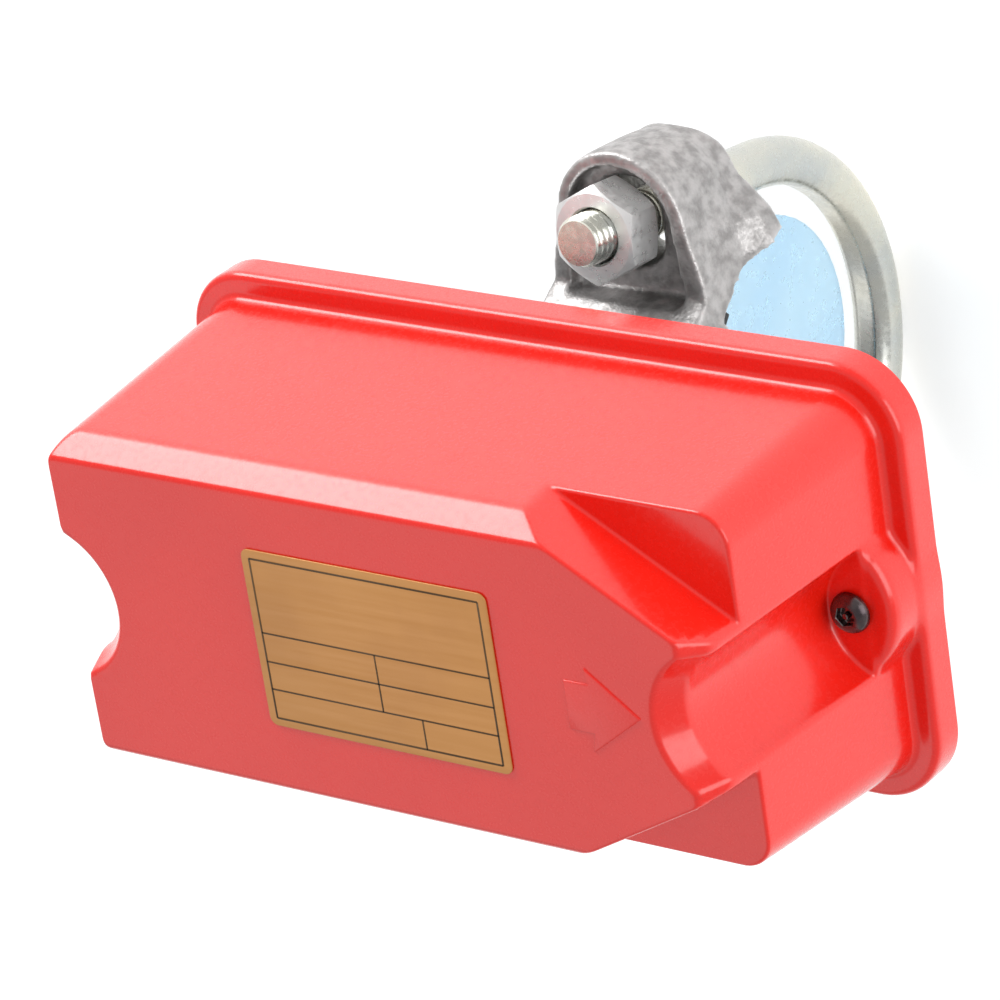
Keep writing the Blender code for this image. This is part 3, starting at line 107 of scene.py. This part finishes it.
def new_tree(name):
    material = bpy.data.materials.new(name)
    material.use_nodes = True
    tree = material.node_tree
    return material, tree, tree.nodes["Principled BSDF"]


def put(tree, node, **inputs):
    """Sets or links inputs of a node; a name such as i0 is an input's number."""
    for key, value in inputs.items():
        numbered = key[0] == "i" and key[1:].isdigit()
        socket = node.inputs[int(key[1:]) if numbered else key.replace("_", " ")]
        if isinstance(value, bpy.types.NodeSocket):
            tree.links.new(value, socket)
        else:
            socket.default_value = value
    return node


def add(tree, kind, settings=None, **inputs):
    node = tree.nodes.new("ShaderNode" + kind)
    for key, value in (settings or {}).items():
        setattr(node, key, value)
    return put(tree, node, **inputs)


def math(tree, operation, first, second=0.0):
    return add(tree, "Math", {"operation": operation}, i0=first, i1=second).outputs[0]


def noise(tree, scale, stretch=(1, 1, 1), detail=4.0):
    """Noise in object coordinates, in cycles per metre, stretched along the axes."""
    place = add(tree, "TexCoord").outputs["Object"]
    mapping = add(tree, "Mapping", i0=place, Scale=stretch).outputs[0]
    return add(tree, "TexNoise", Vector=mapping, Scale=scale, Detail=detail).outputs["Fac"]


def blend(tree, factor, first, second):
    """Mix of two colours; each is a socket or three numbers."""
    node = add(tree, "Mix", {"data_type": "RGBA"})
    for index, colour in ((6, first), (7, second)):
        if isinstance(colour, bpy.types.NodeSocket):
            tree.links.new(colour, node.inputs[index])
        else:
            node.inputs[index].default_value = (*colour, 1.0)
    put(tree, node, i0=factor)
    return node.outputs[2]


def ramp(tree, value, low, high, start=0.0, end=1.0):
    """Smooth step of a value from low to high, mapped to start and end."""
    return add(tree, "MapRange", {"interpolation_type": "SMOOTHSTEP"}, Value=value,
               From_Min=low, From_Max=high, To_Min=start, To_Max=end).outputs[0]


def finish_material(name, light, dark, roughness, metallic=0.0, grain=900.0, stretch=(1, 1, 1),
                    bump=0.1, depth=0.05, cloud=60.0, edge=0.0, extra=None):
    """Two tones in soft clouds, a fine grain in roughness and relief, and paler worn edges."""
    material, tree, shader = new_tree(name)
    clouds = noise(tree, cloud)
    fine = noise(tree, grain, stretch, 6.0)
    colour = blend(tree, ramp(tree, clouds, 0.3, 0.7), dark, light)
    if edge:
        point = add(tree, "NewGeometry").outputs["Pointiness"]
        worn = math(tree, "MULTIPLY", ramp(tree, point, 0.51, 0.58), edge)
        colour = blend(tree, worn, colour, tuple(min(1.0, value * 1.9) for value in light))
    rough = math(tree, "ADD", ramp(tree, fine, 0.25, 0.75, -0.3 * roughness, 0.3 * roughness), roughness)
    relief = add(tree, "Bump", Strength=bump, Distance=depth * MM, Height=fine)
    put(tree, shader, Base_Color=colour, Roughness=rough, Metallic=metallic, Normal=relief.outputs[0])
    put(tree, shader, **(extra or {}))
    return material


MATERIALS = {
    "cover_red": finish_material("red_enamel", (0.84, 0.013, 0.005), (0.79, 0.010, 0.004), 0.25,
                                 grain=1100, bump=0.12, depth=0.05, cloud=35,
                                 extra={"Coat_Weight": 0.52, "Coat_Roughness": 0.10, "IOR": 1.5}),
    "base_grey": finish_material("grey_coat", (0.40, 0.41, 0.42), (0.33, 0.34, 0.35), 0.45, 0.5, bump=0.15),
    "cast_aluminium": finish_material("raw_casting", (0.49, 0.475, 0.47), (0.29, 0.28, 0.275), 0.40, 0.75,
                                      grain=1500, bump=0.8, depth=0.2, cloud=420, edge=0.7),
    "zinc_plate": finish_material("zinc_plating", (0.70, 0.685, 0.59), (0.55, 0.57, 0.55), 0.26, 1.0,
                                  grain=700, bump=0.25, depth=0.08, cloud=70),
    "bright_steel": finish_material("stainless_sheet", (0.62, 0.62, 0.63), (0.52, 0.52, 0.54), 0.28, 1.0,
                                    grain=900, stretch=(0.05, 1, 1), bump=0.12),
    "dark_steel": finish_material("dark_screw_steel", (0.16, 0.13, 0.13), (0.07, 0.055, 0.06), 0.25, 1.0,
                                  grain=900, bump=0.1, cloud=300),
    "black_rubber": finish_material("gasket_rubber", (0.035, 0.035, 0.036), (0.022, 0.022, 0.023), 0.72,
                                    grain=1500, bump=0.3),
    "blue_vane": finish_material("blue_film", (0.62, 0.86, 1.0), (0.57, 0.82, 0.99), 0.32, grain=400,
                                 bump=0.06, cloud=45, extra={"Transmission_Weight": 0.45, "IOR": 1.42}),
    "gold_foil": finish_material("gold_plate_foil", (0.62, 0.285, 0.08), (0.56, 0.25, 0.07), 0.42, 0.2,
                                 grain=900, stretch=(0.04, 1, 1), bump=0.08, cloud=50),
    "black_plastic": finish_material("black_moulding", (0.045, 0.045, 0.05), (0.03, 0.03, 0.033), 0.42,
                                     grain=1800, bump=0.25),
    "white_nylon": finish_material("nylon_moulding", (0.84, 0.82, 0.76), (0.78, 0.76, 0.70), 0.42,
                                   grain=900, bump=0.1, extra={"Subsurface_Weight": 0.08,
                                                               "Subsurface_Scale": 0.001}),
    "brass": finish_material("terminal_brass", (0.82, 0.60, 0.26), (0.70, 0.50, 0.20), 0.24, 1.0,
                             grain=900, bump=0.12, cloud=200),
    "green_zinc": finish_material("green_screw", (0.10, 0.42, 0.16), (0.07, 0.34, 0.12), 0.36, 0.6,
                                  bump=0.12, cloud=200),
}
NUT_ZINC = finish_material("bright_nut_zinc", (0.93, 0.93, 0.92), (0.86, 0.87, 0.87), 0.34, 0.8,
                           grain=700, bump=0.2, depth=0.06, cloud=90)
INK = finish_material("plate_ink", (0.10, 0.05, 0.012), (0.07, 0.035, 0.01), 0.5, grain=2500, bump=0.1)


# Meshes and pieces

def mesh_object(name, points, faces, material, normals=None, sharp=None):
    """An object from points in millimetres and faces of point numbers."""
    mesh = bpy.data.meshes.new(name)
    mesh.from_pydata((np.asarray(points) * MM).tolist(), [], [list(face) for face in faces])
    mesh.validate()
    item = bpy.data.objects.new(name, mesh)
    bpy.context.scene.collection.objects.link(item)
    mesh.materials.append(material)
    mesh.shade_smooth()
    if sharp is not None:
        mesh.set_sharp_from_angle(angle=np.radians(sharp))
    if normals is not None:
        mesh.normals_split_custom_set_from_vertices(np.asarray(normals).tolist())
    return item


def face_outwards(item):
    """Turns every face of a closed mesh to the outside."""
    bm = bmesh.new()
    bm.from_mesh(item.data)
    bmesh.ops.recalc_face_normals(bm, faces=bm.faces)
    bm.to_mesh(item.data)
    bm.free()


def stand_for(piece, *nodes):
    """The piece moves with the nodes' body and takes their place."""
    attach(piece, BODY_OF[nodes[0]])
    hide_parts(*nodes)
    return piece


def grid_faces(rows, columns, wrap=True, start=0):
    """Quads of a grid of rows and columns, the columns closing on themselves."""
    row, column = np.meshgrid(np.arange(rows - 1), np.arange(columns if wrap else columns - 1), indexing="ij")
    after = (column + 1) % columns
    quads = np.stack([row * columns + column, row * columns + after,
                      (row + 1) * columns + after, (row + 1) * columns + column], -1)
    return (quads.reshape(-1, 4) + start).tolist()


def fine_copy(node, width=0.25, segments=2, name=None):
    """A copy of a CAD node's shape with its edges rounded."""
    mesh = NODES[node].data.copy()
    bm = bmesh.new()
    bm.from_mesh(mesh)
    bmesh.ops.remove_doubles(bm, verts=bm.verts, dist=1e-6)
    bmesh.ops.dissolve_limit(bm, angle_limit=0.01, verts=bm.verts, edges=bm.edges)
    bmesh.ops.recalc_face_normals(bm, faces=bm.faces)
    bm.to_mesh(mesh)
    bm.free()
    if "custom_normal" in mesh.attributes:
        mesh.attributes.remove(mesh.attributes["custom_normal"])
    mesh.materials.clear()
    mesh.materials.append(MATERIALS[SLOT_OF[node]])
    item = bpy.data.objects.new(name or "fine_" + node, mesh)
    bpy.context.scene.collection.objects.link(item)
    mesh.shade_smooth()
    mesh.set_sharp_from_angle(angle=np.radians(35))
    if width:
        bevel = item.modifiers.new("rounded_edges", "BEVEL")
        bevel.width = width * MM
        bevel.segments = segments
        bevel.limit_method = "ANGLE"
        bevel.angle_limit = np.radians(35)
        bevel.harden_normals = True
    return item


# Smooth solid fields, negative inside, in millimetres

def smooth_max(first, second, radius):
    """Larger of two fields, rounded: max + max(radius - |difference|, 0)^2 / (4 radius)."""
    gap = np.maximum(radius - np.abs(first - second), 0.0)
    return np.maximum(first, second) + gap * gap / (4.0 * radius)


def smooth_min(first, second, radius):
    return -smooth_max(-first, -second, radius)


def rounded_plan(x, y, half_x, half_y, radius):
    """Distance to a rounded rectangle: length of the part outside its corners, less the radius."""
    across = np.abs(x) - (half_x - radius)
    along = np.abs(y) - (half_y - radius)
    outside = np.hypot(np.maximum(across, 0.0), np.maximum(along, 0.0))
    return outside + np.minimum(np.maximum(across, along), 0.0) - radius


def cover_field(points, wall=0.0):
    """The cover's outside, or its cavity when wall is the thickness to leave.

    Drafted box, front plane, chamfers, cut corners, end grooves, screw bosses and flange.
    """
    x, y, z = points[..., 0], points[..., 1], points[..., 2]
    depth = FRONT_Z - z
    side = COVER_DRAFT * depth
    corner = np.clip(5.0 + 0.068 * depth - wall, 1.5, 12.0)
    box = rounded_plan(x, y, BOX_HALF_LENGTH + side - wall, BOX_HALF_WIDTH + side - wall, corner)
    front = z - FRONT_Z + wall
    upper = ((np.abs(y) - 27.9) * 4.8 - depth * 3.5) / 5.94 + wall
    right = ((x - 61.6) * 4.8 - depth * 3.3) / 5.82 + wall
    shape = smooth_max(smooth_max(box, upper, 0.7), smooth_max(front, right, 0.7), 0.7)
    slant = ((x - 39.5) * 12.45 + (np.abs(y) - 27.9) * 22.2) / 25.45 + 0.05 * (z - STEP_Z) + wall
    step = smooth_min(slant, z - STEP_Z + wall, 0.7)
    shape = smooth_max(shape, step, 0.7)
    if not wall:
        outside = np.hypot(np.abs(x) - BOSS_X, y) - BOSS_RADIUS
        boss = smooth_max(outside, z - BOSS_Z, 2.6)
        shape = smooth_min(shape, boss, 1.2)
    rim_groove = (14.4 - 0.286 * depth + wall - np.hypot(np.abs(x) - 69.5 - 0.43 * depth, y)) / 1.2
    groove = 13.06 - 0.013 * depth + wall - np.hypot(np.abs(x) - 71.41 - 0.039 * depth, y)
    groove = smooth_max(groove, rim_groove, 0.5)
    if not wall:
        groove = smooth_min(groove, z - BOSS_Z, 0.8)
    shape = smooth_max(shape, groove, 0.7)
    if not wall:
        rim = rounded_plan(x, y, FLANGE_HALF_LENGTH, FLANGE_HALF_WIDTH, FLANGE_CORNER)
        flange = smooth_max(rim, z - FLANGE_Z, 1.6)
        shape = smooth_min(shape, flange, 1.4)
    else:
        rim = rounded_plan(x, y, 71.1, FLANGE_HALF_WIDTH - FLANGE_WALL, FLANGE_CORNER - FLANGE_WALL)
        shape = smooth_min(shape, smooth_max(rim, z - 59.3, 0.6), 0.6)
    return shape


def field_normals(field, points, step=0.02):
    """Direction of steepest growth of a field: central differences, made unit length."""
    slopes = []
    for axis in np.eye(3) * step:
        slopes.append(field(points + axis) - field(points - axis))
    slopes = np.stack(slopes, -1)
    return slopes / np.maximum(np.linalg.norm(slopes, axis=-1, keepdims=True), 1e-9)


def ray_ends(field, starts, directions, reach=160.0):
    """Distance along each ray at which the field turns positive, by halving."""
    near = np.zeros(directions.shape[:-1])
    far = np.full(directions.shape[:-1], reach)
    for _ in range(30):
        middle = (near + far) / 2
        inside = field(starts + directions * middle[..., None]) < 0
        near = np.where(inside, middle, near)
        far = np.where(inside, far, middle)
    return (near + far) / 2


def even_steps(points, normals, count, sharpness):
    """Sample numbers that share out length plus turning equally along each row of points."""
    length = np.linalg.norm(np.diff(points, axis=1), axis=-1)
    turning = np.linalg.norm(np.diff(normals, axis=1), axis=-1)
    weight = np.cumsum(length + sharpness * turning + 1e-4, axis=1)
    weight = np.concatenate([np.zeros((len(weight), 1)), weight], axis=1)
    samples = np.arange(points.shape[1])
    return np.stack([np.interp(np.linspace(0, row[-1], count), row, samples) for row in weight])


def plan_angles(field, count):
    """Directions round the plan, closer together where the outline turns."""
    angles = np.linspace(0, 2 * np.pi, 6001)[:-1]
    flat = np.stack([np.cos(angles), np.sin(angles), np.zeros_like(angles)], -1)
    total = np.zeros(len(angles) + 1)
    for height in (66.0, 88.0, 108.0):
        start = np.array([0.0, 0.0, height])
        reach = ray_ends(field, start, flat)
        points = start + flat * reach[:, None]
        turned = field_normals(field, points)
        points = np.concatenate([points, points[:1]])
        turned = np.concatenate([turned, turned[:1]])
        step = np.linalg.norm(np.diff(points, axis=0), axis=-1)
        step += 9.0 * np.linalg.norm(np.diff(turned, axis=0), axis=-1)
        total += np.concatenate([[0], np.cumsum(step)])
    closed = np.linspace(0, 2 * np.pi, 6001)
    return np.interp(np.linspace(0, total[-1], count + 1)[:-1], total, closed)


def star_shell(field, angles, rows, foot):
    """Skin of a field seen from the star centre: a grid of points from the foot height to the top."""
    flat = np.stack([np.cos(angles), np.sin(angles), np.zeros_like(angles)], -1)
    start = np.array([0.0, 0.0, foot])
    reach = ray_ends(field, start, flat)
    lowest = np.arctan2(foot - STAR_CENTRE[2], reach)
    share = np.linspace(0, 1, 800)
    tilt = lowest[:, None] + (np.pi / 2 - 1e-4 - lowest[:, None]) * share[None, :]

    def hits(tilt):
        rays = np.concatenate([flat[:, None, :2] * np.cos(tilt)[..., None], np.sin(tilt)[..., None]], -1)
        return STAR_CENTRE + rays * ray_ends(field, STAR_CENTRE, rays)[..., None]

    dense = hits(tilt)
    steps = even_steps(dense, field_normals(field, dense), rows, 5.0)
    samples = np.arange(tilt.shape[1])
    chosen = np.stack([np.interp(step, samples, row) for step, row in zip(steps, tilt)])
    return hits(chosen)


def make_cover():
    """Outer and inner skins joined by the rim under the flange."""
    angles = plan_angles(cover_field, COVER_COLUMNS)

    def cavity(points):
        return cover_field(points, COVER_WALL)

    outer = star_shell(cover_field, angles, OUTER_ROWS, COVER_FOOT_Z)
    inner = star_shell(cavity, angles, INNER_ROWS, COVER_FOOT_Z)
    outer_grid = outer.transpose(1, 0, 2).reshape(-1, 3)
    inner_grid = inner.transpose(1, 0, 2).reshape(-1, 3)
    outer_normals = field_normals(cover_field, outer_grid)
    inner_normals = -field_normals(cavity, inner_grid)
    faces = grid_faces(OUTER_ROWS, COVER_COLUMNS)
    first_inner = len(outer_grid)
    inner_faces = grid_faces(INNER_ROWS, COVER_COLUMNS, start=first_inner)
    faces += [face[::-1] for face in inner_faces]
    columns = np.arange(COVER_COLUMNS)
    after = (columns + 1) % COVER_COLUMNS
    rim = np.stack([columns + first_inner, after + first_inner, after, columns], -1)
    faces += rim.tolist()
    faces.append((np.arange(COVER_COLUMNS) + first_inner - COVER_COLUMNS).tolist())
    faces.append((np.arange(COVER_COLUMNS)[::-1] + first_inner + (INNER_ROWS - 1) * COVER_COLUMNS).tolist())
    points = np.concatenate([outer_grid, inner_grid])
    normals = np.concatenate([outer_normals, inner_normals])
    cover = mesh_object("cover_shell", points, faces, MATERIALS["cover_red"], normals)
    return stand_for(cover, "cover")


def stroke(points, width):
    """Outline of a bent stroke of even width along points in a plane, ends square."""
    points = np.asarray(points, float)
    along = np.diff(points, axis=0)
    along /= np.linalg.norm(along, axis=1, keepdims=True)
    across = np.stack([-along[:, 1], along[:, 0]], -1)
    sides = []
    for index in range(len(points)):
        before = across[max(index - 1, 0)]
        after = across[min(index, len(across) - 1)]
        middle = before + after
        middle /= np.linalg.norm(middle)
        sides.append(middle / max(middle @ after, 0.3) * width / 2)
    sides = np.array(sides)
    return np.concatenate([points + sides, (points - sides)[::-1]])


def raised(name, outline, low, high, material, bevel=0.3):
    """A flat outline raised from low to high with its upper edge rounded."""
    count = len(outline)
    points = [(x, y, low) for x, y in outline] + [(x, y, high) for x, y in outline]
    faces = [list(range(count))[::-1], [count + index for index in range(count)]]
    for index in range(count):
        after = (index + 1) % count
        faces.append([index, after, count + after, count + index])
    item = mesh_object(name, points, faces, material)
    face_outwards(item)
    edge = item.modifiers.new("rounded_edges", "BEVEL")
    edge.width = bevel * MM
    edge.segments = 3
    edge.limit_method = "ANGLE"
    edge.angle_limit = np.radians(50)
    return item


def make_arrow():
    outline = [(38.6, -4.6), (43.4, -4.6), (42.7, -8.2), (53.0, -0.2), (42.9, 7.4), (43.4, 4.4), (38.6, 4.4)]
    arrow = raised("flow_arrow", outline, 113.4, 114.3, MATERIALS["cover_red"], 0.28)
    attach(arrow, "cover_assembly")


def rounded_outline(low, high, radius, steps=8):
    corners = ((high[0] - radius, high[1] - radius, 0), (low[0] + radius, high[1] - radius, 90),
               (low[0] + radius, low[1] + radius, 180), (high[0] - radius, low[1] + radius, 270))
    points = []
    for x, y, start in corners:
        turn = np.radians(np.linspace(start, start + 90, steps))
        points.extend(zip(x + radius * np.cos(turn), y + radius * np.sin(turn)))
    return points


PLATE_RULES = [
    # x from, y from, x to, y to, width, in the plane of the front
    (-22.9, 15.8, 23.9, 15.8, 0.35),
    (-22.9, -14.1, 23.9, -14.1, 0.35),
    (-22.9, 15.8, -22.9, -14.1, 0.35),
    (23.9, 15.8, 23.9, -14.1, 0.35),
    (-22.9, 2.0, 23.9, 2.0, 0.3),
    (-22.9, -3.4, 23.9, -3.4, 0.3),
    (-22.9, -8.6, 23.9, -8.6, 0.3),
    (0.5, 2.0, 0.5, -8.6, 0.3),
    (8.5, -8.6, 8.5, -14.1, 0.3),
]


def make_plate():
    centre = (0.5, 0.9)
    half = (25.1, 16.55)
    low = (centre[0] - half[0], centre[1] - half[1])
    high = (centre[0] + half[0], centre[1] + half[1])
    outline = rounded_outline(low, high, 1.6)
    plate = raised("foil_plate", outline, 114.05, 114.4, MATERIALS["gold_foil"], 0.15)
    stand_for(plate, "rating_plate")
    points = []
    faces = []
    for x_from, y_from, x_to, y_to, width in PLATE_RULES:
        corners = stroke([(x_from, y_from), (x_to, y_to)], width)
        start = len(points)
        points.extend((x, y, height) for height in (114.38, 114.43) for x, y in corners)
        faces.append([start + 3, start + 2, start + 1, start])
        faces.append([start + 4, start + 5, start + 6, start + 7])
        for index in range(4):
            after = (index + 1) % 4
            faces.append([start + index, start + after, start + 4 + after, start + 4 + index])
    rules = mesh_object("plate_rules", points, faces, INK)
    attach(rules, "cover_assembly")


# Turned pieces whose radius may change with the angle, such as hexagons and threads

POLAR_STEPS = 96


def polar_grid(rows, matrix, steps):
    """Points of rows of (radius, height), each a number or an array over the angle."""
    grids = []
    turn = np.linspace(0, 2 * np.pi, steps, endpoint=False)
    for radius, height in rows:
        radius = np.broadcast_to(radius, turn.shape)
        height = np.broadcast_to(height, turn.shape)
        grids.append(np.stack([radius * np.cos(turn), radius * np.sin(turn), height], -1))
    points = np.concatenate(grids)
    matrix = np.array(matrix)
    return points @ matrix[:3, :3].T + matrix[:3, 3]


def closed_polar(name, rows, matrix, material, sharp, ring=False):
    """A closed solid of polar rows: capped at both ends, or joined end to end as a ring."""
    steps = POLAR_STEPS
    points = polar_grid(rows, matrix, steps)
    faces = [face[::-1] for face in grid_faces(len(rows), steps)]
    last = (len(rows) - 1) * steps
    columns = np.arange(steps)
    after = (columns + 1) % steps
    if ring:
        faces += np.stack([after + last, columns + last, columns, after], -1)[:, ::-1].tolist()
    else:
        faces.append(columns.tolist())
        faces.append((columns[::-1] + last).tolist())
    item = mesh_object(name, points, faces, material)
    face_outwards(item)
    item.data.set_sharp_from_angle(angle=np.radians(sharp))
    return item


def hexagon(across_flats, turn=0.0, rounding=0.985):
    """Radius of a hexagon over the angle, its corners cut a little."""
    angle = np.linspace(0, 2 * np.pi, POLAR_STEPS, endpoint=False) + turn
    around = (angle + np.pi / 6) % (np.pi / 3) - np.pi / 6
    return np.minimum(across_flats / 2 / np.cos(around), across_flats / np.sqrt(3) * rounding)


def make_cover_screws():
    """Button heads with a hexagon socket and a pin in it."""
    socket = hexagon(3.2, turn=0.3)
    for end, x in (("left", -SCREW_X), ("right", SCREW_X)):
        rows = [(0.02, 73.15), (0.35, 73.15), (0.55, 73.0), (0.6, 71.8), (socket * 0.9, 71.7), (socket, 71.8),
                (socket, 72.95), (socket + 0.12, 73.1), (2.3, 73.02), (3.0, 72.6), (3.4, 72.1), (3.6, 71.5),
                (3.62, 71.15), (3.5, 71.0), (2.0, 71.0), (2.0, 54.0), (1.4, 53.0), (0.02, 53.0)]
        screw = closed_polar("socket_screw_" + end, rows, Matrix.Translation((x, 0, 0)),
                             MATERIALS["dark_steel"], 28)
        stand_for(screw, "cover_screw_" + end)


# U-bolt and nuts

def bolt_matrix():
    return Matrix.Translation(BEND_CENTRE) @ Matrix.Rotation(-DROOP, 4, "X")


def make_u_bolt():
    """A tube along the bent rod, flattened inside the bend, with threads on both ends.

    Radius over angle a and length s: rod + thread depth x triangle wave of (s / pitch - a / turn),
    and the side towards the middle of the bend is cut to a flat.
    """
    radius = BEND_RADIUS
    thread = THREAD_LENGTH
    bend = np.pi - 2 * SPLAY
    arc_length = radius * bend
    start = LEG_LENGTH / np.cos(SPLAY) - radius * np.sin(SPLAY)
    total = 2 * start + arc_length + 4 * radius * SPLAY
    fine = np.arange(0, thread, PITCH / 10)
    middle = np.linspace(thread, total - thread, 240)[1:-1]
    distance = np.concatenate([fine, [thread], middle, [total - thread], total - fine[::-1]])
    along = distance - (total - arc_length) / 2
    inside = np.clip(along / radius, 0, bend)
    angle = -SPLAY - inside
    y = radius * np.cos(angle)
    z = 0.993 * radius * np.sin(angle)
    before = np.minimum(along, 0.0)
    beyond = np.maximum(along - arc_length, 0.0)
    y = y - before * np.sin(SPLAY) - beyond * np.sin(SPLAY)
    z = z - before * np.cos(SPLAY) + beyond * np.cos(SPLAY)
    centre = np.stack([np.zeros_like(y), y, z], -1)
    out = np.stack([np.zeros_like(y), np.cos(angle), np.sin(angle)], -1)
    steps = 64
    turn = np.linspace(0, 2 * np.pi, steps, endpoint=False)
    end = np.minimum(distance, total - distance)
    hand = np.where(distance < total / 2, 1, -1)
    phase = (end[:, None] / PITCH - hand[:, None] * turn[None, :] / (2 * np.pi)) % 1
    tooth = 1 - np.abs(2 * phase - 1) * 2
    tooth = np.clip(tooth, -0.75, 0.75)
    fade = np.clip((thread - end) / 2.5, 0, 1) * np.clip(end / 1.2 + 0.1, 0, 1)
    size = ROD_RADIUS - 0.28 * fade[:, None] + 0.46 * tooth * fade[:, None]
    size = size - 0.55 * np.clip(1 - end / 0.8, 0, 1)[:, None]
    toward = -np.cos(turn)[None, :]
    flat = np.clip((end - thread - 8) / 10, 0, 1)[:, None]
    limit = np.where(toward > 0.05, ROD_FLAT / np.maximum(toward, 0.05), 99.0)
    size = np.minimum(size, size * (1 - flat) + flat * np.minimum(size, limit))
    points = (centre[:, None, :] + size[..., None] * (np.cos(turn)[None, :, None] * out[:, None, :]
              + np.sin(turn)[None, :, None] * np.array([1.0, 0.0, 0.0])))
    grid = points.reshape(-1, 3)
    matrix = np.array(bolt_matrix())
    grid = grid @ matrix[:3, :3].T + matrix[:3, 3]
    faces = grid_faces(len(distance), steps)
    faces.append(np.arange(steps)[::-1].tolist())
    faces.append((np.arange(steps) + (len(distance) - 1) * steps).tolist())
    item = mesh_object("bent_rod", grid, faces, MATERIALS["zinc_plate"])
    face_outwards(item)
    item.data.set_sharp_from_angle(angle=np.radians(40))
    stand_for(item, "u_bolt")


def make_nut(name, side, height):
    """A hexagon nut, its corners chamfered by a cone on both faces."""
    offset = side * (BEND_RADIUS + height * np.tan(SPLAY))
    place = (bolt_matrix() @ Matrix.Translation((0, offset, height))
             @ Matrix.Rotation(-side * SPLAY, 4, "X"))
    outer = hexagon(NUT_FLATS, rounding=0.99)
    half = NUT_HALF_HEIGHT
    face = NUT_FLATS / 2 * 0.96
    slope = np.tan(np.radians(30))
    lower = [(4.98, -half + 0.5), (5.3, -half), (5.8, -half), (face, -half)]
    for share in np.linspace(0, 1, 6)[1:]:
        lower.append((face + (outer - face) * share, -half + (outer - face) * share * slope))
    upper = [(radius, -level) for radius, level in lower[::-1]]
    nut = closed_polar("hexagon_" + name, lower + upper, place, NUT_ZINC, 22, ring=True)
    stand_for(nut, name)


# Saddle: the CAD shape softened like a casting

def make_saddle():
    item = fine_copy("saddle", 0, name="cast_saddle")
    remesh = item.modifiers.new("even_mesh", "REMESH")
    remesh.mode = "VOXEL"
    remesh.voxel_size = 0.62 * MM
    remesh.use_smooth_shade = True
    soften = item.modifiers.new("softened", "SMOOTH")
    soften.factor = 0.5
    soften.iterations = 8
    stand_for(item, "saddle")


# Camera, light and floor

def make_stage():
    """The camera, a white surround, soft lamps and a pale floor under the U-bolt."""
    camera = bpy.data.cameras.new("view")
    camera.lens = 187.4
    camera.sensor_width = 36.0
    camera.clip_end = 20.0
    holder = bpy.data.objects.new("view", camera)
    bpy.context.scene.collection.objects.link(holder)
    right = Vector((0.80655, -0.14168, -0.57394))
    up = Vector((-0.14307, 0.89522, -0.42204))
    back = Vector((0.57359, 0.42251, 0.70177))
    holder.matrix_world = Matrix.Translation((0.5013, 0.3811, 0.6887)) @ Matrix((
        (right.x, up.x, back.x, 0), (right.y, up.y, back.y, 0), (right.z, up.z, back.z, 0), (0, 0, 0, 1)))
    bpy.context.scene.camera = holder

    world = bpy.data.worlds.new("surround")
    world.use_nodes = True
    background = world.node_tree.nodes["Background"]
    background.inputs["Color"].default_value = (1.0, 1.0, 1.0, 1.0)
    background.inputs["Strength"].default_value = 0.58
    bpy.context.scene.world = world
    bpy.context.scene.view_settings.view_transform = "Standard"

    lamps = (("above", (-0.60, 0.86, 0.26), 8.5, 0.6), ("right", (0.95, 0.25, 0.30), 4.5, 0.7),
             ("low", (-0.55, -0.45, 0.85), 0.9, 0.7))
    for name, place, power, size in lamps:
        lamp = bpy.data.lights.new(name, "AREA")
        lamp.energy = power
        lamp.size = size
        item = bpy.data.objects.new(name, lamp)
        item.location = place
        item.rotation_euler = (Vector(place) - Vector((0, 0, 0.05))).to_track_quat("Z", "Y").to_euler()
        bpy.context.scene.collection.objects.link(item)

    floor = finish_material("pale_floor", (0.96, 0.96, 0.96), (0.95, 0.95, 0.95), 0.8, grain=40, bump=0.0,
                            extra={"Emission_Color": (1.0, 1.0, 1.0, 1.0), "Emission_Strength": 0.32})
    low = CAD_BOX[0][2] / MM - 0.5
    reach = 3000.0
    corners = [(-reach, -reach, low), (reach, -reach, low), (reach, reach, low), (-reach, reach, low)]
    mesh_object("floor", corners, [[0, 1, 2, 3]], floor)


# Nodes that have a detailed piece of their own
DETAILED_NODES = ("rating_plate", "cover", "cover_screw_left", "cover_screw_right", "u_bolt",
                  "nut_upper", "nut_lower", "saddle")

# Radius of the rounded edges where it isn't the usual one
EDGE_RADIUS = {"return_spring": 0, "vane": 0.1}

make_cover()
make_arrow()
make_plate()
make_cover_screws()
make_u_bolt()
make_nut("nut_upper", 1, 40.9)
make_nut("nut_lower", -1, 33.4)
make_saddle()
for node in NODES:
    if node not in DETAILED_NODES:
        stand_for(fine_copy(node, EDGE_RADIUS.get(node, 0.25)), node)
make_stage()
